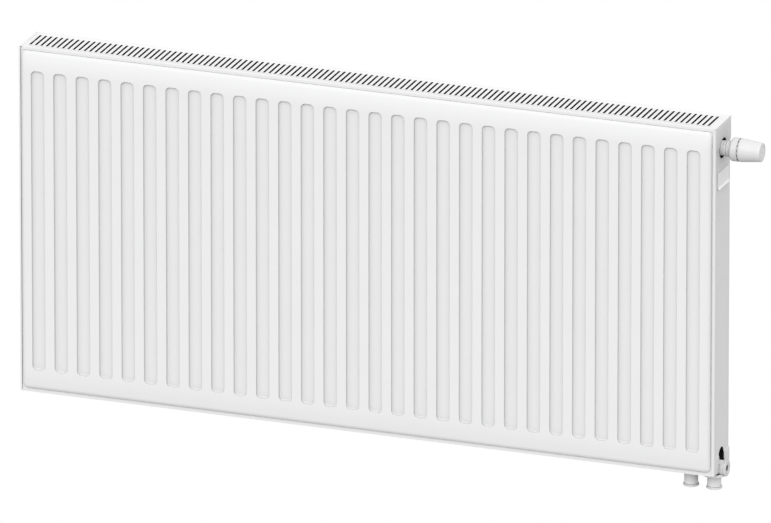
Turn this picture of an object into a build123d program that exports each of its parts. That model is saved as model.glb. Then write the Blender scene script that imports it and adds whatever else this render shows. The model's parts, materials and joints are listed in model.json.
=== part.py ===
from build123d import *
import os

# Double-panel wall radiator with a built-in thermostatic valve and two connections underneath.
# +X runs along the length towards the valve end, +Y towards the wall, +Z up. The origin is in the
# plane of the hanging lugs' backs, at the middle of the length, level with the covers' lower edge.
# All sizes are in millimetres.

os.makedirs("parts", exist_ok=True)

# ---- Driving dimensions ----
height = 750.0
length = 1518.0
cover_depth = 97.0
lug_reach = 8.0
face_x = length / 2
cover_back_y = -lug_reach
cover_front_y = cover_back_y - cover_depth
pipe_y = cover_front_y + 48.0

# Pressed panels
sheet = 1.2
bulge_half_x = 746.0
flange_half_x = 753.0
bulge_low_z = 8.5
bulge_high_z = 743.0
flange_low_z = -1.0
flange_high_z = 747.6
bulge_depth = 10.7
bulge_corner_r = 10.0
bulge_edge_r = 6.5
front_face_y = cover_front_y - 8.0
rear_face_y = cover_back_y - 1.0
front_seam_y = front_face_y + bulge_depth
rear_seam_y = rear_face_y - bulge_depth

# Grooves between the water channels
groove_count = 30
groove_pitch = 49.27
groove_width = 28.8
groove_low_z = 50.0
groove_high_z = 702.0
groove_corner_r = 8.5
groove_depth = 4.5
groove_slope = 34.0
groove_length = groove_high_z - groove_low_z
groove_mid_z = (groove_high_z + groove_low_z) / 2
pad_width = 20.0
pad_length = 640.0
pad_corner_r = 4.0

# Convectors between the panels
fin_sheet = 0.5
fin_pitch = groove_pitch / 2
fin_depth = 38.0
fin_low_z = 62.0
fin_high_z = 688.0
fin_start_x = -688.0
fin_count = 55

# Top grille
grille_sheet = 1.0
grille_left_x = -751.6
grille_right_x = face_x - 0.2
grille_lip = 6.0
slot_count = 125
slot_pitch = 11.908
slot_row_x = -1.8
slot_length = 63.0
slot_width = 4.8
slot_mid_y = cover_front_y + 49.5
grille_cover_gap = 0.3

# Side covers
cover_sheet = 1.2
cover_lip = 5.0
cover_top_strip = 7.0
recess = 0.9
recess_low_z = 32.0
recess_high_z = 703.0
recess_front_y = cover_front_y + 10.0
recess_back_y = cover_back_y - 4.0
valve_hole_r = 21.5
arch_r = 16.0
arch_top_z = 49.0
dimple_r = 27.0
dimple_depth = 0.3
dimple_heights = (387.0, 547.0)
cut_through = 3 * cover_sheet
badge_low_z = 612.0
badge_height = 38.0
badge_width = 68.0
badge_sheet = 0.3
badge_front_y = cover_front_y + 16.0

# Corner tees: one hub along X, one cross tube along Y to both panels
valve_z = 695.5
drain_z = 4.5
hub_r = 15.25
hub_bore_r = 11.0
cross_r = 9.5
cross_bore_r = 7.0
cross_drop = 17.5
high_cross_z = valve_z + cross_drop
low_cross_z = drain_z + 21.5
left_cross_x = -720.0
drain_cross_x = 720.0
valve_cross_x = 728.0
hub_wall = 3.0
left_tee_x = -705.0
manifold_shoulder = 1.5
manifold_left_x = drain_cross_x - cross_r - manifold_shoulder

# Pipe connections underneath
return_x = 743.0
supply_x = return_x - 50.0
socket_r = 14.5
socket_bore_r = 9.3
socket_thread = 16.5
socket_top_z = -14.0
socket_low_z = -36.5
socket_waterway_r = 7.0
end_ring_r = 16.75
end_ring_bore_r = 10.6
end_ring_low_z = -41.0
collar_r = 24.5
collar_low_z = -13.2
collar_high_z = -7.0
collar_edge_r = 1.0
riser_r = 7.5
riser_bore_r = 6.3
supply_block_top_z = 12.0
riser_top_z = 675.0
bridge_half_y = 9.0
bridge_low_z = -9.0
bridge_high_z = -2.0

# Small gaps: turning and sliding fits, and room between curved faces
run_gap = 0.05
seat_gap = 0.05

# Valve
valve_left_x = 681.0
seat_left_x = 712.0
seat_right_x = 715.0
seat_hole_r = 5.5
valve_end_x = face_x + 5.0
insert_left_x = 740.0
insert_seal_x = 748.0
insert_ring_x = valve_end_x + 4.0
insert_ring_r = 17.0
neck_r = 13.0
neck_end_x = face_x + 23.0
pin_r = 1.5
pin_end_x = face_x + 26.0
guide_end_x = 748.0
pocket_r = 6.5
gland_left_x = 774.0
spring_washer_x = 765.5
spring_washer = 2.0
spring_washer_r = 4.6
stroke = 2.5
cone_r = 7.5
cone_thick = 3.0
cone_left_x = seat_right_x + stroke / 2 + run_gap
spring_wire_r = 0.45
spring_r = 3.6
spring_turns = 7

# Thermostatic head
union_left_x = face_x + 9.5
union_right_x = face_x + 21.0
union_r = 17.0
base_left_x = union_right_x
base_right_x = face_x + 35.0
base_r = 24.5
base_chamfer = 4.0
base_chamfer_start_r = 20.5
spigot_r = 16.5
spigot_end_x = face_x + 62.0
neck_pocket_x = base_right_x - 6.0
knob_left_x = face_x + 38.0
knob_right_x = face_x + 84.0
knob_left_r = 24.5
knob_right_r = 19.5
cap_r = 16.8
cap_thick = 2.0
cap_shelf = 1.5
knob_floor_x = spigot_end_x + 1.0
scale_ring_r = 22.8
scale_gap = 0.3
sensor_r = 9.0
sensor_left_x = face_x + 44.0
sensor_right_x = face_x + 72.0
sensor_edge_r = 1.5
sensor_seat_x = sensor_left_x - 3.0
rod_r = 2.6
head_spring_r = 6.0
head_spring_wire_r = 0.6
head_spring_turns = 4

# Plugs and vent
drain_end_x = face_x + 9.5
left_low_end_x = -(face_x + 3.0)
left_high_end_x = -(face_x - 2.0)
plug_ring_r = 17.5
plug_ring = 2.9
plug_edge_r = 0.8
plug_shank = 12.0
plug_hex = 12.0
plug_hex_depth = 8.0
seal_wire_r = 1.2
vent_hex = 27.0
vent_flange = 6.0
vent_neck_r = 7.0
vent_neck = 8.0
vent_shank = 16.0
vent_tip = 2.0
vent_screw_r = 3.0
vent_screw_out = 2.5
vent_square = 4.0
spout_r = 10.0
spout_gap = 0.6
spout_width = 6.0
spout_reach = 15.0
spout_nozzle_r = 2.4

# Lugs, clips
lug_land = 3
lug_x = -groove_pitch * (groove_count - 1) / 2 + groove_pitch * (lug_land + 0.5)
lug_width = 30.0
lug_sheet = 2.0
lug_height = 62.0
lug_foot = 20.0
high_lug_z = 632.0
low_lug_z = 62.0
clip_sheet = 0.8
clip_width = 15.0
clip_grip = 16.0
cover_clip_heights = (120.0, 600.0)
grille_clip_places = (-600.0, 0.0, 600.0)
grille_clip_drop = 13.0


def save(piece, label):
    """Name a finished piece and write it as its own file."""
    piece.part.label = label
    export_step(piece.part, f"parts/{label}.step")


def outward_plane(y, outward):
    """A plane across Y whose normal points outwards: -1 to the room, +1 to the wall."""
    return Plane(origin=(0, y, 0), x_dir=(-outward, 0, 0), z_dir=(0, outward, 0))


def rod(r, x0, x1, y, z, mode=Mode.ADD):
    """Add, or cut, a round bar along X."""
    with BuildSketch(Plane.YZ.offset(min(x0, x1))) as section:
        with Locations((y, z)):
            Circle(r)
    extrude(section.sketch, amount=abs(x1 - x0), mode=mode)


def bore(r, x0, x1, y, z):
    """Cut a round hole along X."""
    rod(r, x0, x1, y, z, mode=Mode.SUBTRACT)


def post(r, x, y, z0, z1, mode=Mode.ADD):
    """Add, or cut, a round bar along Z."""
    with BuildSketch(Plane.XY.offset(z0)) as section:
        with Locations((x, y)):
            Circle(r)
    extrude(section.sketch, amount=z1 - z0, mode=mode)


def cross(r, x, z, mode=Mode.ADD):
    """Add, or cut, a tube's round section from one panel's inner sheet to the other's."""
    y0 = front_seam_y + sheet
    y1 = rear_seam_y - sheet
    with BuildSketch(Plane.XZ.offset(-y0)) as section:
        with Locations((x, z)):
            Circle(r)
    extrude(section.sketch, amount=y0 - y1, mode=mode)


def slab(x0, x1, y0, y1, z0, z1, mode=Mode.ADD):
    """Add, or cut, a plain block between two corners."""
    with BuildSketch(Plane.XY.offset(z0)) as section:
        with Locations(((x0 + x1) / 2, (y0 + y1) / 2)):
            Rectangle(abs(x1 - x0), abs(y1 - y0))
    extrude(section.sketch, amount=z1 - z0, mode=mode)


def turned(points, y=pipe_y, z=valve_z):
    """Add a turned shape about a line along X. Points are (x, radius)."""
    with BuildSketch(Plane(origin=(0, y, z), x_dir=(1, 0, 0), z_dir=(0, -1, 0))) as section:
        with BuildLine():
            Polyline(*points, close=True)
        make_face()
    revolve(section.sketch, axis=Axis((0, y, z), (1, 0, 0)))


# ---- Panels ----
def outer_sheet(seam_y, outward):
    """The pressed sheet with the grooves: a shallow tray with a flat rim."""
    bulge_mid_z = (bulge_low_z + bulge_high_z) / 2
    bulge_size_z = bulge_high_z - bulge_low_z
    face_y = seam_y + outward * bulge_depth
    into_face = outward_plane(face_y, -outward)

    with BuildPart() as hollow:
        with BuildSketch(outward_plane(seam_y, outward)):
            with Locations((0, bulge_mid_z)):
                RectangleRounded(
                    2 * (bulge_half_x - sheet),
                    bulge_size_z - 2 * sheet,
                    bulge_corner_r - sheet,
                )
        extrude(amount=bulge_depth - sheet)
        rim = hollow.faces().sort_by(Axis.Y)[0 if outward < 0 else -1].edges()
        fillet(rim, bulge_edge_r - sheet)
        with BuildSketch(into_face):
            with Locations((0, groove_mid_z)):
                with GridLocations(groove_pitch, 0, groove_count, 1):
                    RectangleRounded(
                        groove_width + 2 * sheet,
                        groove_length + 2 * sheet,
                        groove_corner_r + sheet,
                    )
        extrude(amount=groove_depth + sheet, taper=groove_slope, mode=Mode.SUBTRACT)

    with BuildPart() as tray:
        with BuildSketch(outward_plane(seam_y, outward)):
            with Locations((0, bulge_mid_z)):
                RectangleRounded(2 * bulge_half_x, bulge_size_z, bulge_corner_r)
        extrude(amount=bulge_depth)
        rim = tray.faces().sort_by(Axis.Y)[0 if outward < 0 else -1].edges()
        fillet(rim, bulge_edge_r)
        with BuildSketch(into_face):
            with Locations((0, groove_mid_z)):
                with GridLocations(groove_pitch, 0, groove_count, 1):
                    RectangleRounded(groove_width, groove_length, groove_corner_r)
        extrude(amount=groove_depth, taper=groove_slope, mode=Mode.SUBTRACT)
        with BuildSketch(outward_plane(seam_y, outward)):
            with Locations((0, (flange_low_z + flange_high_z) / 2)):
                Rectangle(2 * flange_half_x, flange_high_z - flange_low_z)
        extrude(amount=sheet)
        add(hollow.part, mode=Mode.SUBTRACT)
    return tray


def inner_sheet(seam_y, outward, ports):
    """The flat sheet with a pad pressed up to each groove floor and a hole at each tee."""
    pad_height = bulge_depth - groove_depth - sheet
    with BuildPart() as plate:
        with BuildSketch(outward_plane(seam_y, -outward)):
            with Locations((0, (flange_low_z + flange_high_z) / 2)):
                Rectangle(2 * flange_half_x, flange_high_z - flange_low_z)
        extrude(amount=sheet)
        with BuildSketch(outward_plane(seam_y, outward)):
            with Locations((0, groove_mid_z)):
                with GridLocations(groove_pitch, 0, groove_count, 1):
                    RectangleRounded(pad_width, pad_length, pad_corner_r)
        extrude(amount=pad_height)
        with BuildSketch(outward_plane(seam_y - outward * sheet, outward)):
            with Locations((0, groove_mid_z)):
                with GridLocations(groove_pitch, 0, groove_count, 1):
                    RectangleRounded(
                        pad_width - 2 * sheet,
                        pad_length - 2 * sheet,
                        pad_corner_r - sheet,
                    )
        extrude(amount=pad_height, mode=Mode.SUBTRACT)
        with BuildSketch(Plane.XZ.offset(-seam_y - outward * sheet)):
            with Locations(*ports):
                Circle(cross_bore_r)
        extrude(amount=outward * sheet * 2, both=True, mode=Mode.SUBTRACT)
    return plate


ports = (
    (left_cross_x, high_cross_z),
    (left_cross_x, low_cross_z),
    (valve_cross_x, high_cross_z),
    (drain_cross_x, low_cross_z),
)
save(outer_sheet(front_seam_y, -1), "front_panel_outer_sheet")
save(inner_sheet(front_seam_y, -1, ports), "front_panel_inner_sheet")
save(inner_sheet(rear_seam_y, 1, ports), "rear_panel_inner_sheet")
save(outer_sheet(rear_seam_y, 1), "rear_panel_outer_sheet")


# ---- Convectors ----
def convector(near_y, far_y):
    """One strip folded into square waves, from the panel's back to the middle."""
    half = fin_sheet / 2
    low = min(near_y, far_y) + half
    high = max(near_y, far_y) - half
    outside = []
    inside = []
    for i in range(fin_count):
        rise = fin_start_x + i * fin_pitch
        fall = rise + fin_pitch / 2
        outside += [(rise - half, low + half), (rise - half, high + half)]
        outside += [(fall + half, high + half), (fall + half, low + half)]
        inside += [(rise + half, low - half), (rise + half, high - half)]
        inside += [(fall - half, high - half), (fall - half, low - half)]
    start = [(fin_start_x - fin_pitch / 2, low - half), (fin_start_x - fin_pitch / 2, low + half)]
    with BuildPart() as strip:
        with BuildSketch(Plane.XY.offset(fin_low_z)):
            with BuildLine():
                Polyline(*start, *outside, *reversed(inside), close=True)
            make_face()
        extrude(amount=fin_high_z - fin_low_z)
    return strip


front_back_y = front_seam_y + sheet
rear_back_y = rear_seam_y - sheet
save(convector(front_back_y, front_back_y + fin_depth), "front_convector")
save(convector(rear_back_y, rear_back_y - fin_depth), "rear_convector")


# ---- Top grille and its clips ----
with BuildPart() as top_grille:
    slab(grille_left_x, grille_right_x, cover_front_y, cover_back_y, height - grille_sheet, height)
    slab(
        grille_left_x,
        face_x - cover_lip - grille_cover_gap,
        cover_front_y,
        cover_front_y + grille_sheet,
        height - grille_lip,
        height,
    )
    slab(
        grille_left_x,
        face_x - cover_lip - grille_cover_gap,
        cover_back_y - grille_sheet,
        cover_back_y,
        height - grille_lip,
        height,
    )
    with BuildSketch(Plane.XY.offset(height - grille_sheet)):
        with Locations((slot_row_x, slot_mid_y)):
            with GridLocations(slot_pitch, 0, slot_count, 1):
                SlotOverall(slot_length, slot_width, rotation=90)
    extrude(amount=grille_sheet, mode=Mode.SUBTRACT)
save(top_grille, "top_grille")

with BuildPart() as grille_clips:
    for x in grille_clip_places:
        for seam_y, inward in ((front_seam_y, 1), (rear_seam_y, -1)):
            leg_y = seam_y + inward * sheet
            slab(
                x - clip_width / 2,
                x + clip_width / 2,
                seam_y - inward * sheet,
                leg_y + inward * clip_sheet,
                flange_high_z,
                height - grille_sheet,
            )
            slab(
                x - clip_width / 2,
                x + clip_width / 2,
                leg_y,
                leg_y + inward * clip_sheet,
                flange_high_z - grille_clip_drop,
                flange_high_z,
            )
save(grille_clips, "grille_clips")


# ---- Side covers, their clips and the badge ----
def side_cover(side):
    """A pressed end cover. side is +1 at the valve end and -1 at the other."""
    outer = side * face_x
    inner = outer - side * cover_sheet
    strip_top = height if side < 0 else height - grille_sheet
    strip_width = cover_top_strip if side < 0 else cover_lip
    with BuildPart() as cover:
        slab(inner, outer, cover_front_y, cover_back_y, 0, strip_top)
        slab(
            inner - side * recess,
            inner,
            recess_front_y - cover_sheet,
            recess_back_y + cover_sheet,
            recess_low_z - cover_sheet,
            recess_high_z + cover_sheet,
        )
        slab(
            outer - side * recess,
            outer,
            recess_front_y,
            recess_back_y,
            recess_low_z,
            recess_high_z,
            mode=Mode.SUBTRACT,
        )
        slab(
            outer - side * cover_lip,
            outer,
            cover_front_y,
            cover_front_y + cover_sheet,
            0,
            strip_top,
        )
        slab(
            outer - side * cover_lip,
            outer,
            cover_back_y - cover_sheet,
            cover_back_y,
            0,
            strip_top,
        )
        slab(
            outer - side * strip_width,
            outer,
            cover_front_y,
            cover_back_y,
            strip_top - cover_sheet,
            strip_top,
        )
        bore(valve_hole_r, outer - side * cut_through, outer, pipe_y, valve_z)
        with BuildSketch(Plane.YZ.offset(min(outer, outer - side * cut_through))):
            with Locations((pipe_y, arch_top_z - arch_r)):
                Circle(arch_r)
            with Locations((pipe_y, (arch_top_z - arch_r) / 2)):
                Rectangle(2 * arch_r, arch_top_z - arch_r)
        extrude(amount=cut_through, mode=Mode.SUBTRACT)
        for z in dimple_heights:
            bore(
                dimple_r,
                outer - side * (recess + dimple_depth),
                outer - side * recess,
                pipe_y,
                z,
            )
    return cover


def cover_clips(side):
    """Four bent strips that hold one cover to the panels' rims."""
    web_x = side * (face_x - cover_sheet - recess)
    with BuildPart() as clips:
        for z in cover_clip_heights:
            for rim_y, inward in ((front_back_y, 1), (rear_back_y, -1)):
                slab(
                    web_x - side * clip_grip,
                    web_x,
                    rim_y,
                    rim_y + inward * clip_sheet,
                    z,
                    z + clip_width,
                )
                slab(
                    web_x - side * clip_sheet,
                    web_x,
                    rim_y,
                    rim_y + inward * clip_grip,
                    z,
                    z + clip_width,
                )
    return clips


save(side_cover(-1), "left_side_cover")
save(side_cover(1), "right_side_cover")
save(cover_clips(-1), "left_cover_clips")
save(cover_clips(1), "right_cover_clips")

with BuildPart() as side_badge:
    slab(
        face_x - recess,
        face_x - recess + badge_sheet,
        badge_front_y,
        badge_front_y + badge_width,
        badge_low_z,
        badge_low_z + badge_height,
    )
save(side_badge, "side_badge")


# ---- Corner tees ----
def tee(closed_x, open_x, hub_z, cross_x, cross_z):
    """A hub along X, closed inside and open at the cover, with a tube to both panels."""
    toward = 1 if open_x > closed_x else -1
    with BuildPart() as body:
        rod(hub_r, closed_x, open_x, pipe_y, hub_z)
        cross(cross_r, cross_x, cross_z)
        bore(hub_bore_r, closed_x + toward * hub_wall, open_x, pipe_y, hub_z)
        cross(cross_bore_r, cross_x, cross_z, mode=Mode.SUBTRACT)
    return body


save(tee(left_tee_x, left_high_end_x, valve_z, left_cross_x, high_cross_z), "top_left_tee")
save(tee(left_tee_x, left_low_end_x, drain_z, left_cross_x, low_cross_z), "bottom_left_tee")

with BuildPart() as valve_body:
    rod(hub_r, valve_left_x, valve_end_x, pipe_y, valve_z)
    cross(cross_r, valve_cross_x, high_cross_z)
    post(cross_r, supply_x, pipe_y, riser_top_z, valve_z)
    bore(hub_bore_r, valve_left_x + hub_wall, seat_left_x, pipe_y, valve_z)
    bore(seat_hole_r, seat_left_x, seat_right_x, pipe_y, valve_z)
    bore(hub_bore_r, seat_right_x, valve_end_x, pipe_y, valve_z)
    cross(cross_bore_r, valve_cross_x, high_cross_z, mode=Mode.SUBTRACT)
    post(riser_bore_r, supply_x, pipe_y, riser_top_z, valve_z, mode=Mode.SUBTRACT)
save(valve_body, "valve_body")

with BuildPart() as return_manifold:
    rod(hub_r, manifold_left_x, drain_end_x, pipe_y, drain_z)
    cross(cross_r, drain_cross_x, low_cross_z)
    post(socket_r, return_x, pipe_y, socket_top_z, drain_z)
    bore(hub_bore_r, drain_cross_x - cross_bore_r, drain_end_x, pipe_y, drain_z)
    cross(cross_bore_r, drain_cross_x, low_cross_z, mode=Mode.SUBTRACT)
    post(socket_waterway_r, return_x, pipe_y, socket_top_z, drain_z, mode=Mode.SUBTRACT)
save(return_manifold, "return_manifold")

with BuildPart() as supply_block:
    post(socket_r, supply_x, pipe_y, socket_top_z, supply_block_top_z)
    post(riser_bore_r, supply_x, pipe_y, socket_top_z, supply_block_top_z, mode=Mode.SUBTRACT)
save(supply_block, "supply_block")

with BuildPart() as supply_riser:
    post(riser_r, supply_x, pipe_y, supply_block_top_z, riser_top_z)
    post(riser_bore_r, supply_x, pipe_y, supply_block_top_z, riser_top_z, mode=Mode.SUBTRACT)
save(supply_riser, "supply_riser")


# ---- Pipe sockets, end rings and collar ----
def socket(x):
    """A sleeve with a threaded mouth at its lower end."""
    with BuildPart() as sleeve:
        post(socket_r, x, pipe_y, socket_low_z, socket_top_z)
        post(socket_bore_r, x, pipe_y, socket_low_z, socket_low_z + socket_thread, mode=Mode.SUBTRACT)
        post(socket_waterway_r, x, pipe_y, socket_low_z, socket_top_z, mode=Mode.SUBTRACT)
    return sleeve


def end_ring(x):
    """The protective ring around a socket's mouth."""
    with BuildPart() as ring:
        post(end_ring_r, x, pipe_y, end_ring_low_z, socket_low_z)
        post(end_ring_bore_r, x, pipe_y, end_ring_low_z, socket_low_z, mode=Mode.SUBTRACT)
    return ring


save(socket(supply_x), "supply_socket")
save(socket(return_x), "return_socket")
save(end_ring(supply_x), "supply_end_ring")
save(end_ring(return_x), "return_end_ring")

with BuildPart() as return_collar:
    post(collar_r, return_x, pipe_y, collar_low_z, collar_high_z)
    fillet(return_collar.edges().filter_by(GeomType.CIRCLE), collar_edge_r)
    post(socket_r + seat_gap, return_x, pipe_y, collar_low_z, collar_high_z, mode=Mode.SUBTRACT)
    bore(hub_r + seat_gap, return_x - 2 * collar_r, return_x + 2 * collar_r, pipe_y, drain_z)
save(return_collar, "return_collar")

with BuildPart() as socket_bridge:
    slab(
        supply_x,
        manifold_left_x,
        pipe_y - bridge_half_y,
        pipe_y + bridge_half_y,
        bridge_low_z,
        bridge_high_z,
    )
    post(socket_r + seat_gap, supply_x, pipe_y, bridge_low_z, bridge_high_z, mode=Mode.SUBTRACT)
save(socket_bridge, "socket_bridge")


# ---- Plugs ----
def blank_plug(end_x, hub_z):
    """A ring that caps the hub, a plain shank in its bore and a six-sided socket."""
    out = 1 if end_x > 0 else -1
    face = end_x + out * plug_ring
    with BuildPart() as plug:
        rod(plug_ring_r, end_x, face, pipe_y, hub_z)
        outer_edge = plug.edges().filter_by(GeomType.CIRCLE).sort_by(Axis.X)[-1 if out > 0 else 0]
        fillet(outer_edge, plug_edge_r)
        rod(hub_bore_r - seat_gap, end_x - out * plug_shank, end_x, pipe_y, hub_z)
        seal_x = end_x - out * plug_shank / 2
        with BuildSketch(Plane.YZ.offset(seal_x - seal_wire_r)):
            with Locations((pipe_y, hub_z)):
                Circle(hub_bore_r)
                Circle(hub_bore_r - 2 * seal_wire_r, mode=Mode.SUBTRACT)
        extrude(amount=2 * seal_wire_r, mode=Mode.SUBTRACT)
        with BuildSketch(Plane.YZ.offset(min(face, face - out * plug_hex_depth))):
            with Locations((pipe_y, hub_z)):
                RegularPolygon(plug_hex / 2, 6, major_radius=False)
        extrude(amount=plug_hex_depth, mode=Mode.SUBTRACT)
    return plug


def ring_seal(x, z, major_r, wire_r):
    """A rubber ring about a line along X."""
    with BuildPart() as seal:
        with BuildSketch(Plane(origin=(0, pipe_y, z), x_dir=(1, 0, 0), z_dir=(0, -1, 0))):
            with Locations((x, major_r)):
                Circle(wire_r)
        revolve(axis=Axis((0, pipe_y, z), (1, 0, 0)))
    return seal


seal_major_r = hub_bore_r - seal_wire_r
seal_fit_r = seal_wire_r - seat_gap
save(blank_plug(drain_end_x, drain_z), "drain_plug")
save(ring_seal(drain_end_x - plug_shank / 2, drain_z, seal_major_r, seal_fit_r), "drain_plug_seal")
save(blank_plug(left_low_end_x, drain_z), "bottom_left_plug")
save(
    ring_seal(left_low_end_x + plug_shank / 2, drain_z, seal_major_r, seal_fit_r),
    "bottom_left_plug_seal",
)


# ---- Air vent at the top left ----
vent_face_x = left_high_end_x - vent_flange
vent_neck_x = vent_face_x - vent_neck
with BuildPart() as vent_plug:
    with BuildSketch(Plane.YZ.offset(vent_face_x)):
        with Locations((pipe_y, valve_z)):
            RegularPolygon(vent_hex / 2, 6, major_radius=False)
    extrude(amount=vent_flange)
    rod(hub_bore_r - seat_gap, left_high_end_x, left_high_end_x + vent_shank, pipe_y, valve_z)
    rod(vent_neck_r, vent_neck_x, vent_face_x, pipe_y, valve_z)
    bore(
        vent_screw_r + run_gap,
        vent_neck_x,
        left_high_end_x + vent_shank,
        pipe_y,
        valve_z,
    )
save(vent_plug, "vent_plug")

with BuildPart() as vent_spout:
    spout_right_x = vent_face_x - spout_gap
    spout_left_x = spout_right_x - spout_width
    rod(spout_r, spout_left_x, spout_right_x, pipe_y, valve_z)
    with BuildSketch(Plane.XY.offset(valve_z - spout_reach)):
        with Locations(((spout_left_x + spout_right_x) / 2, pipe_y)):
            Circle(spout_nozzle_r)
    extrude(amount=spout_reach - vent_neck_r)
    bore(vent_neck_r + run_gap, spout_left_x, spout_right_x, pipe_y, valve_z)
save(vent_spout, "vent_spout")

with BuildPart() as vent_screw:
    rod(vent_screw_r, vent_neck_x, left_high_end_x + vent_shank - vent_tip, pipe_y, valve_z)
    with BuildSketch(Plane.YZ.offset(vent_neck_x - vent_screw_out)):
        with Locations((pipe_y, valve_z)):
            Rectangle(vent_square, vent_square)
    extrude(amount=vent_screw_out)
save(vent_screw, "vent_screw")


# ---- Valve insert, stem, spring and gland ----
with BuildPart() as valve_insert:
    turned(
        (
            (insert_left_x, pin_r + run_gap),
            (insert_left_x, hub_bore_r - seat_gap),
            (valve_end_x, hub_bore_r - seat_gap),
            (valve_end_x, insert_ring_r),
            (insert_ring_x, insert_ring_r),
            (insert_ring_x, neck_r),
            (neck_end_x, neck_r),
            (neck_end_x, pocket_r),
            (guide_end_x, pocket_r),
            (guide_end_x, pin_r + run_gap),
        )
    )
    with BuildSketch(Plane.YZ.offset(insert_seal_x - seal_wire_r)):
        with Locations((pipe_y, valve_z)):
            Circle(hub_bore_r)
            Circle(hub_bore_r - 2 * seal_wire_r, mode=Mode.SUBTRACT)
    extrude(amount=2 * seal_wire_r, mode=Mode.SUBTRACT)
save(valve_insert, "valve_insert")
save(ring_seal(insert_seal_x, valve_z, seal_major_r, seal_fit_r), "insert_seal")

with BuildPart() as gland_nut:
    turned(
        (
            (gland_left_x, pin_r + run_gap),
            (gland_left_x, pocket_r - seat_gap),
            (neck_end_x, pocket_r - seat_gap),
            (neck_end_x, pin_r + run_gap),
        )
    )
save(gland_nut, "gland_nut")

with BuildPart() as valve_pin:
    turned(
        (
            (cone_left_x + cone_thick, 0),
            (cone_left_x + cone_thick, pin_r),
            (spring_washer_x, pin_r),
            (spring_washer_x, spring_washer_r),
            (spring_washer_x + spring_washer, spring_washer_r),
            (spring_washer_x + spring_washer, pin_r),
            (pin_end_x, pin_r),
            (pin_end_x, 0),
        )
    )
save(valve_pin, "valve_pin")

with BuildPart() as valve_disc:
    turned(
        (
            (cone_left_x, 0),
            (cone_left_x, cone_r),
            (cone_left_x + cone_thick, cone_r),
            (cone_left_x + cone_thick, 0),
        )
    )
save(valve_disc, "valve_disc")


def coil(x0, x1, coil_r, wire_r, turns):
    """A round-wire spring about the valve's axis, between two flat faces."""
    start = x0 + wire_r + seat_gap
    rise = (x1 - x0 - 2 * (wire_r + seat_gap)) / turns
    with BuildPart() as spring:
        with BuildLine() as path:
            Helix(rise, rise * turns, coil_r, center=(start, pipe_y, valve_z), direction=(1, 0, 0))
        with BuildSketch(Plane(origin=path.line @ 0, z_dir=path.line % 0)):
            Circle(wire_r)
        sweep(path=path.line, is_frenet=True)
    return spring


save(coil(guide_end_x, spring_washer_x, spring_r, spring_wire_r, spring_turns), "valve_spring")


# ---- Thermostatic head ----
with BuildPart() as head_union:
    turned(
        (
            (union_left_x, neck_r + seat_gap),
            (union_left_x, union_r),
            (union_right_x, union_r),
            (union_right_x, neck_r + seat_gap),
        )
    )
save(head_union, "head_union")

sensor_bore_r = sensor_r + run_gap
with BuildPart() as head_base:
    turned(
        (
            (base_left_x, neck_r + seat_gap),
            (base_left_x, base_chamfer_start_r),
            (base_left_x + base_chamfer, base_r),
            (base_right_x, base_r),
            (base_right_x, spigot_r),
            (spigot_end_x, spigot_r),
            (spigot_end_x, sensor_bore_r),
            (sensor_seat_x, sensor_bore_r),
            (sensor_seat_x, rod_r + run_gap),
            (neck_pocket_x, rod_r + run_gap),
            (neck_pocket_x, neck_r + seat_gap),
        )
    )
save(head_base, "head_base")

with BuildPart() as scale_ring:
    turned(
        (
            (base_right_x, spigot_r + seat_gap),
            (base_right_x, scale_ring_r),
            (knob_left_x - scale_gap, scale_ring_r),
            (knob_left_x - scale_gap, spigot_r + seat_gap),
        )
    )
save(scale_ring, "scale_ring")

cap_left_x = knob_right_x - cap_thick
with BuildPart() as knob:
    turned(
        (
            (knob_left_x, spigot_r + run_gap),
            (knob_left_x, knob_left_r),
            (knob_right_x, knob_right_r),
            (knob_right_x, cap_r + seat_gap),
            (cap_left_x, cap_r + seat_gap),
            (cap_left_x, cap_r - cap_shelf),
            (knob_floor_x, cap_r - cap_shelf),
            (knob_floor_x, spigot_r + run_gap),
        )
    )
save(knob, "knob")

with BuildPart() as knob_cap:
    turned(((cap_left_x, 0), (cap_left_x, cap_r), (knob_right_x, cap_r), (knob_right_x, 0)))
save(knob_cap, "knob_cap")

with BuildPart() as wax_sensor:
    rod(sensor_r, sensor_left_x, sensor_right_x, pipe_y, valve_z)
    fillet(wax_sensor.edges().filter_by(GeomType.CIRCLE), sensor_edge_r)
save(wax_sensor, "wax_sensor")

with BuildPart() as push_rod:
    rod(rod_r, pin_end_x, sensor_left_x, pipe_y, valve_z)
save(push_rod, "push_rod")
save(
    coil(sensor_right_x, cap_left_x, head_spring_r, head_spring_wire_r, head_spring_turns),
    "head_spring",
)


# ---- Hanging lugs ----
def lug(x, z):
    """A strap with its foot welded to the rear panel and an open tongue below it."""
    top = z + lug_height
    gap_y = -lug_sheet
    with BuildPart() as strap:
        slab(
            x - lug_width / 2,
            x + lug_width / 2,
            rear_face_y,
            rear_face_y + lug_sheet,
            top - lug_foot,
            top,
        )
        slab(
            x - lug_width / 2,
            x + lug_width / 2,
            rear_face_y,
            0,
            top - lug_foot - lug_sheet,
            top - lug_foot,
        )
        slab(x - lug_width / 2, x + lug_width / 2, gap_y, 0, z, top - lug_foot)
    return strap


save(lug(lug_x, high_lug_z), "upper_left_lug")
save(lug(-lug_x, high_lug_z), "upper_right_lug")
save(lug(lug_x, low_lug_z), "lower_left_lug")
save(lug(-lug_x, low_lug_z), "lower_right_lug")
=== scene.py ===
import json
import logging
import math
from dataclasses import dataclass
from enum import Enum
from typing import Any, Callable, Iterable, Sequence

import bmesh
import bpy
from mathutils import Matrix, Vector


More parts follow.
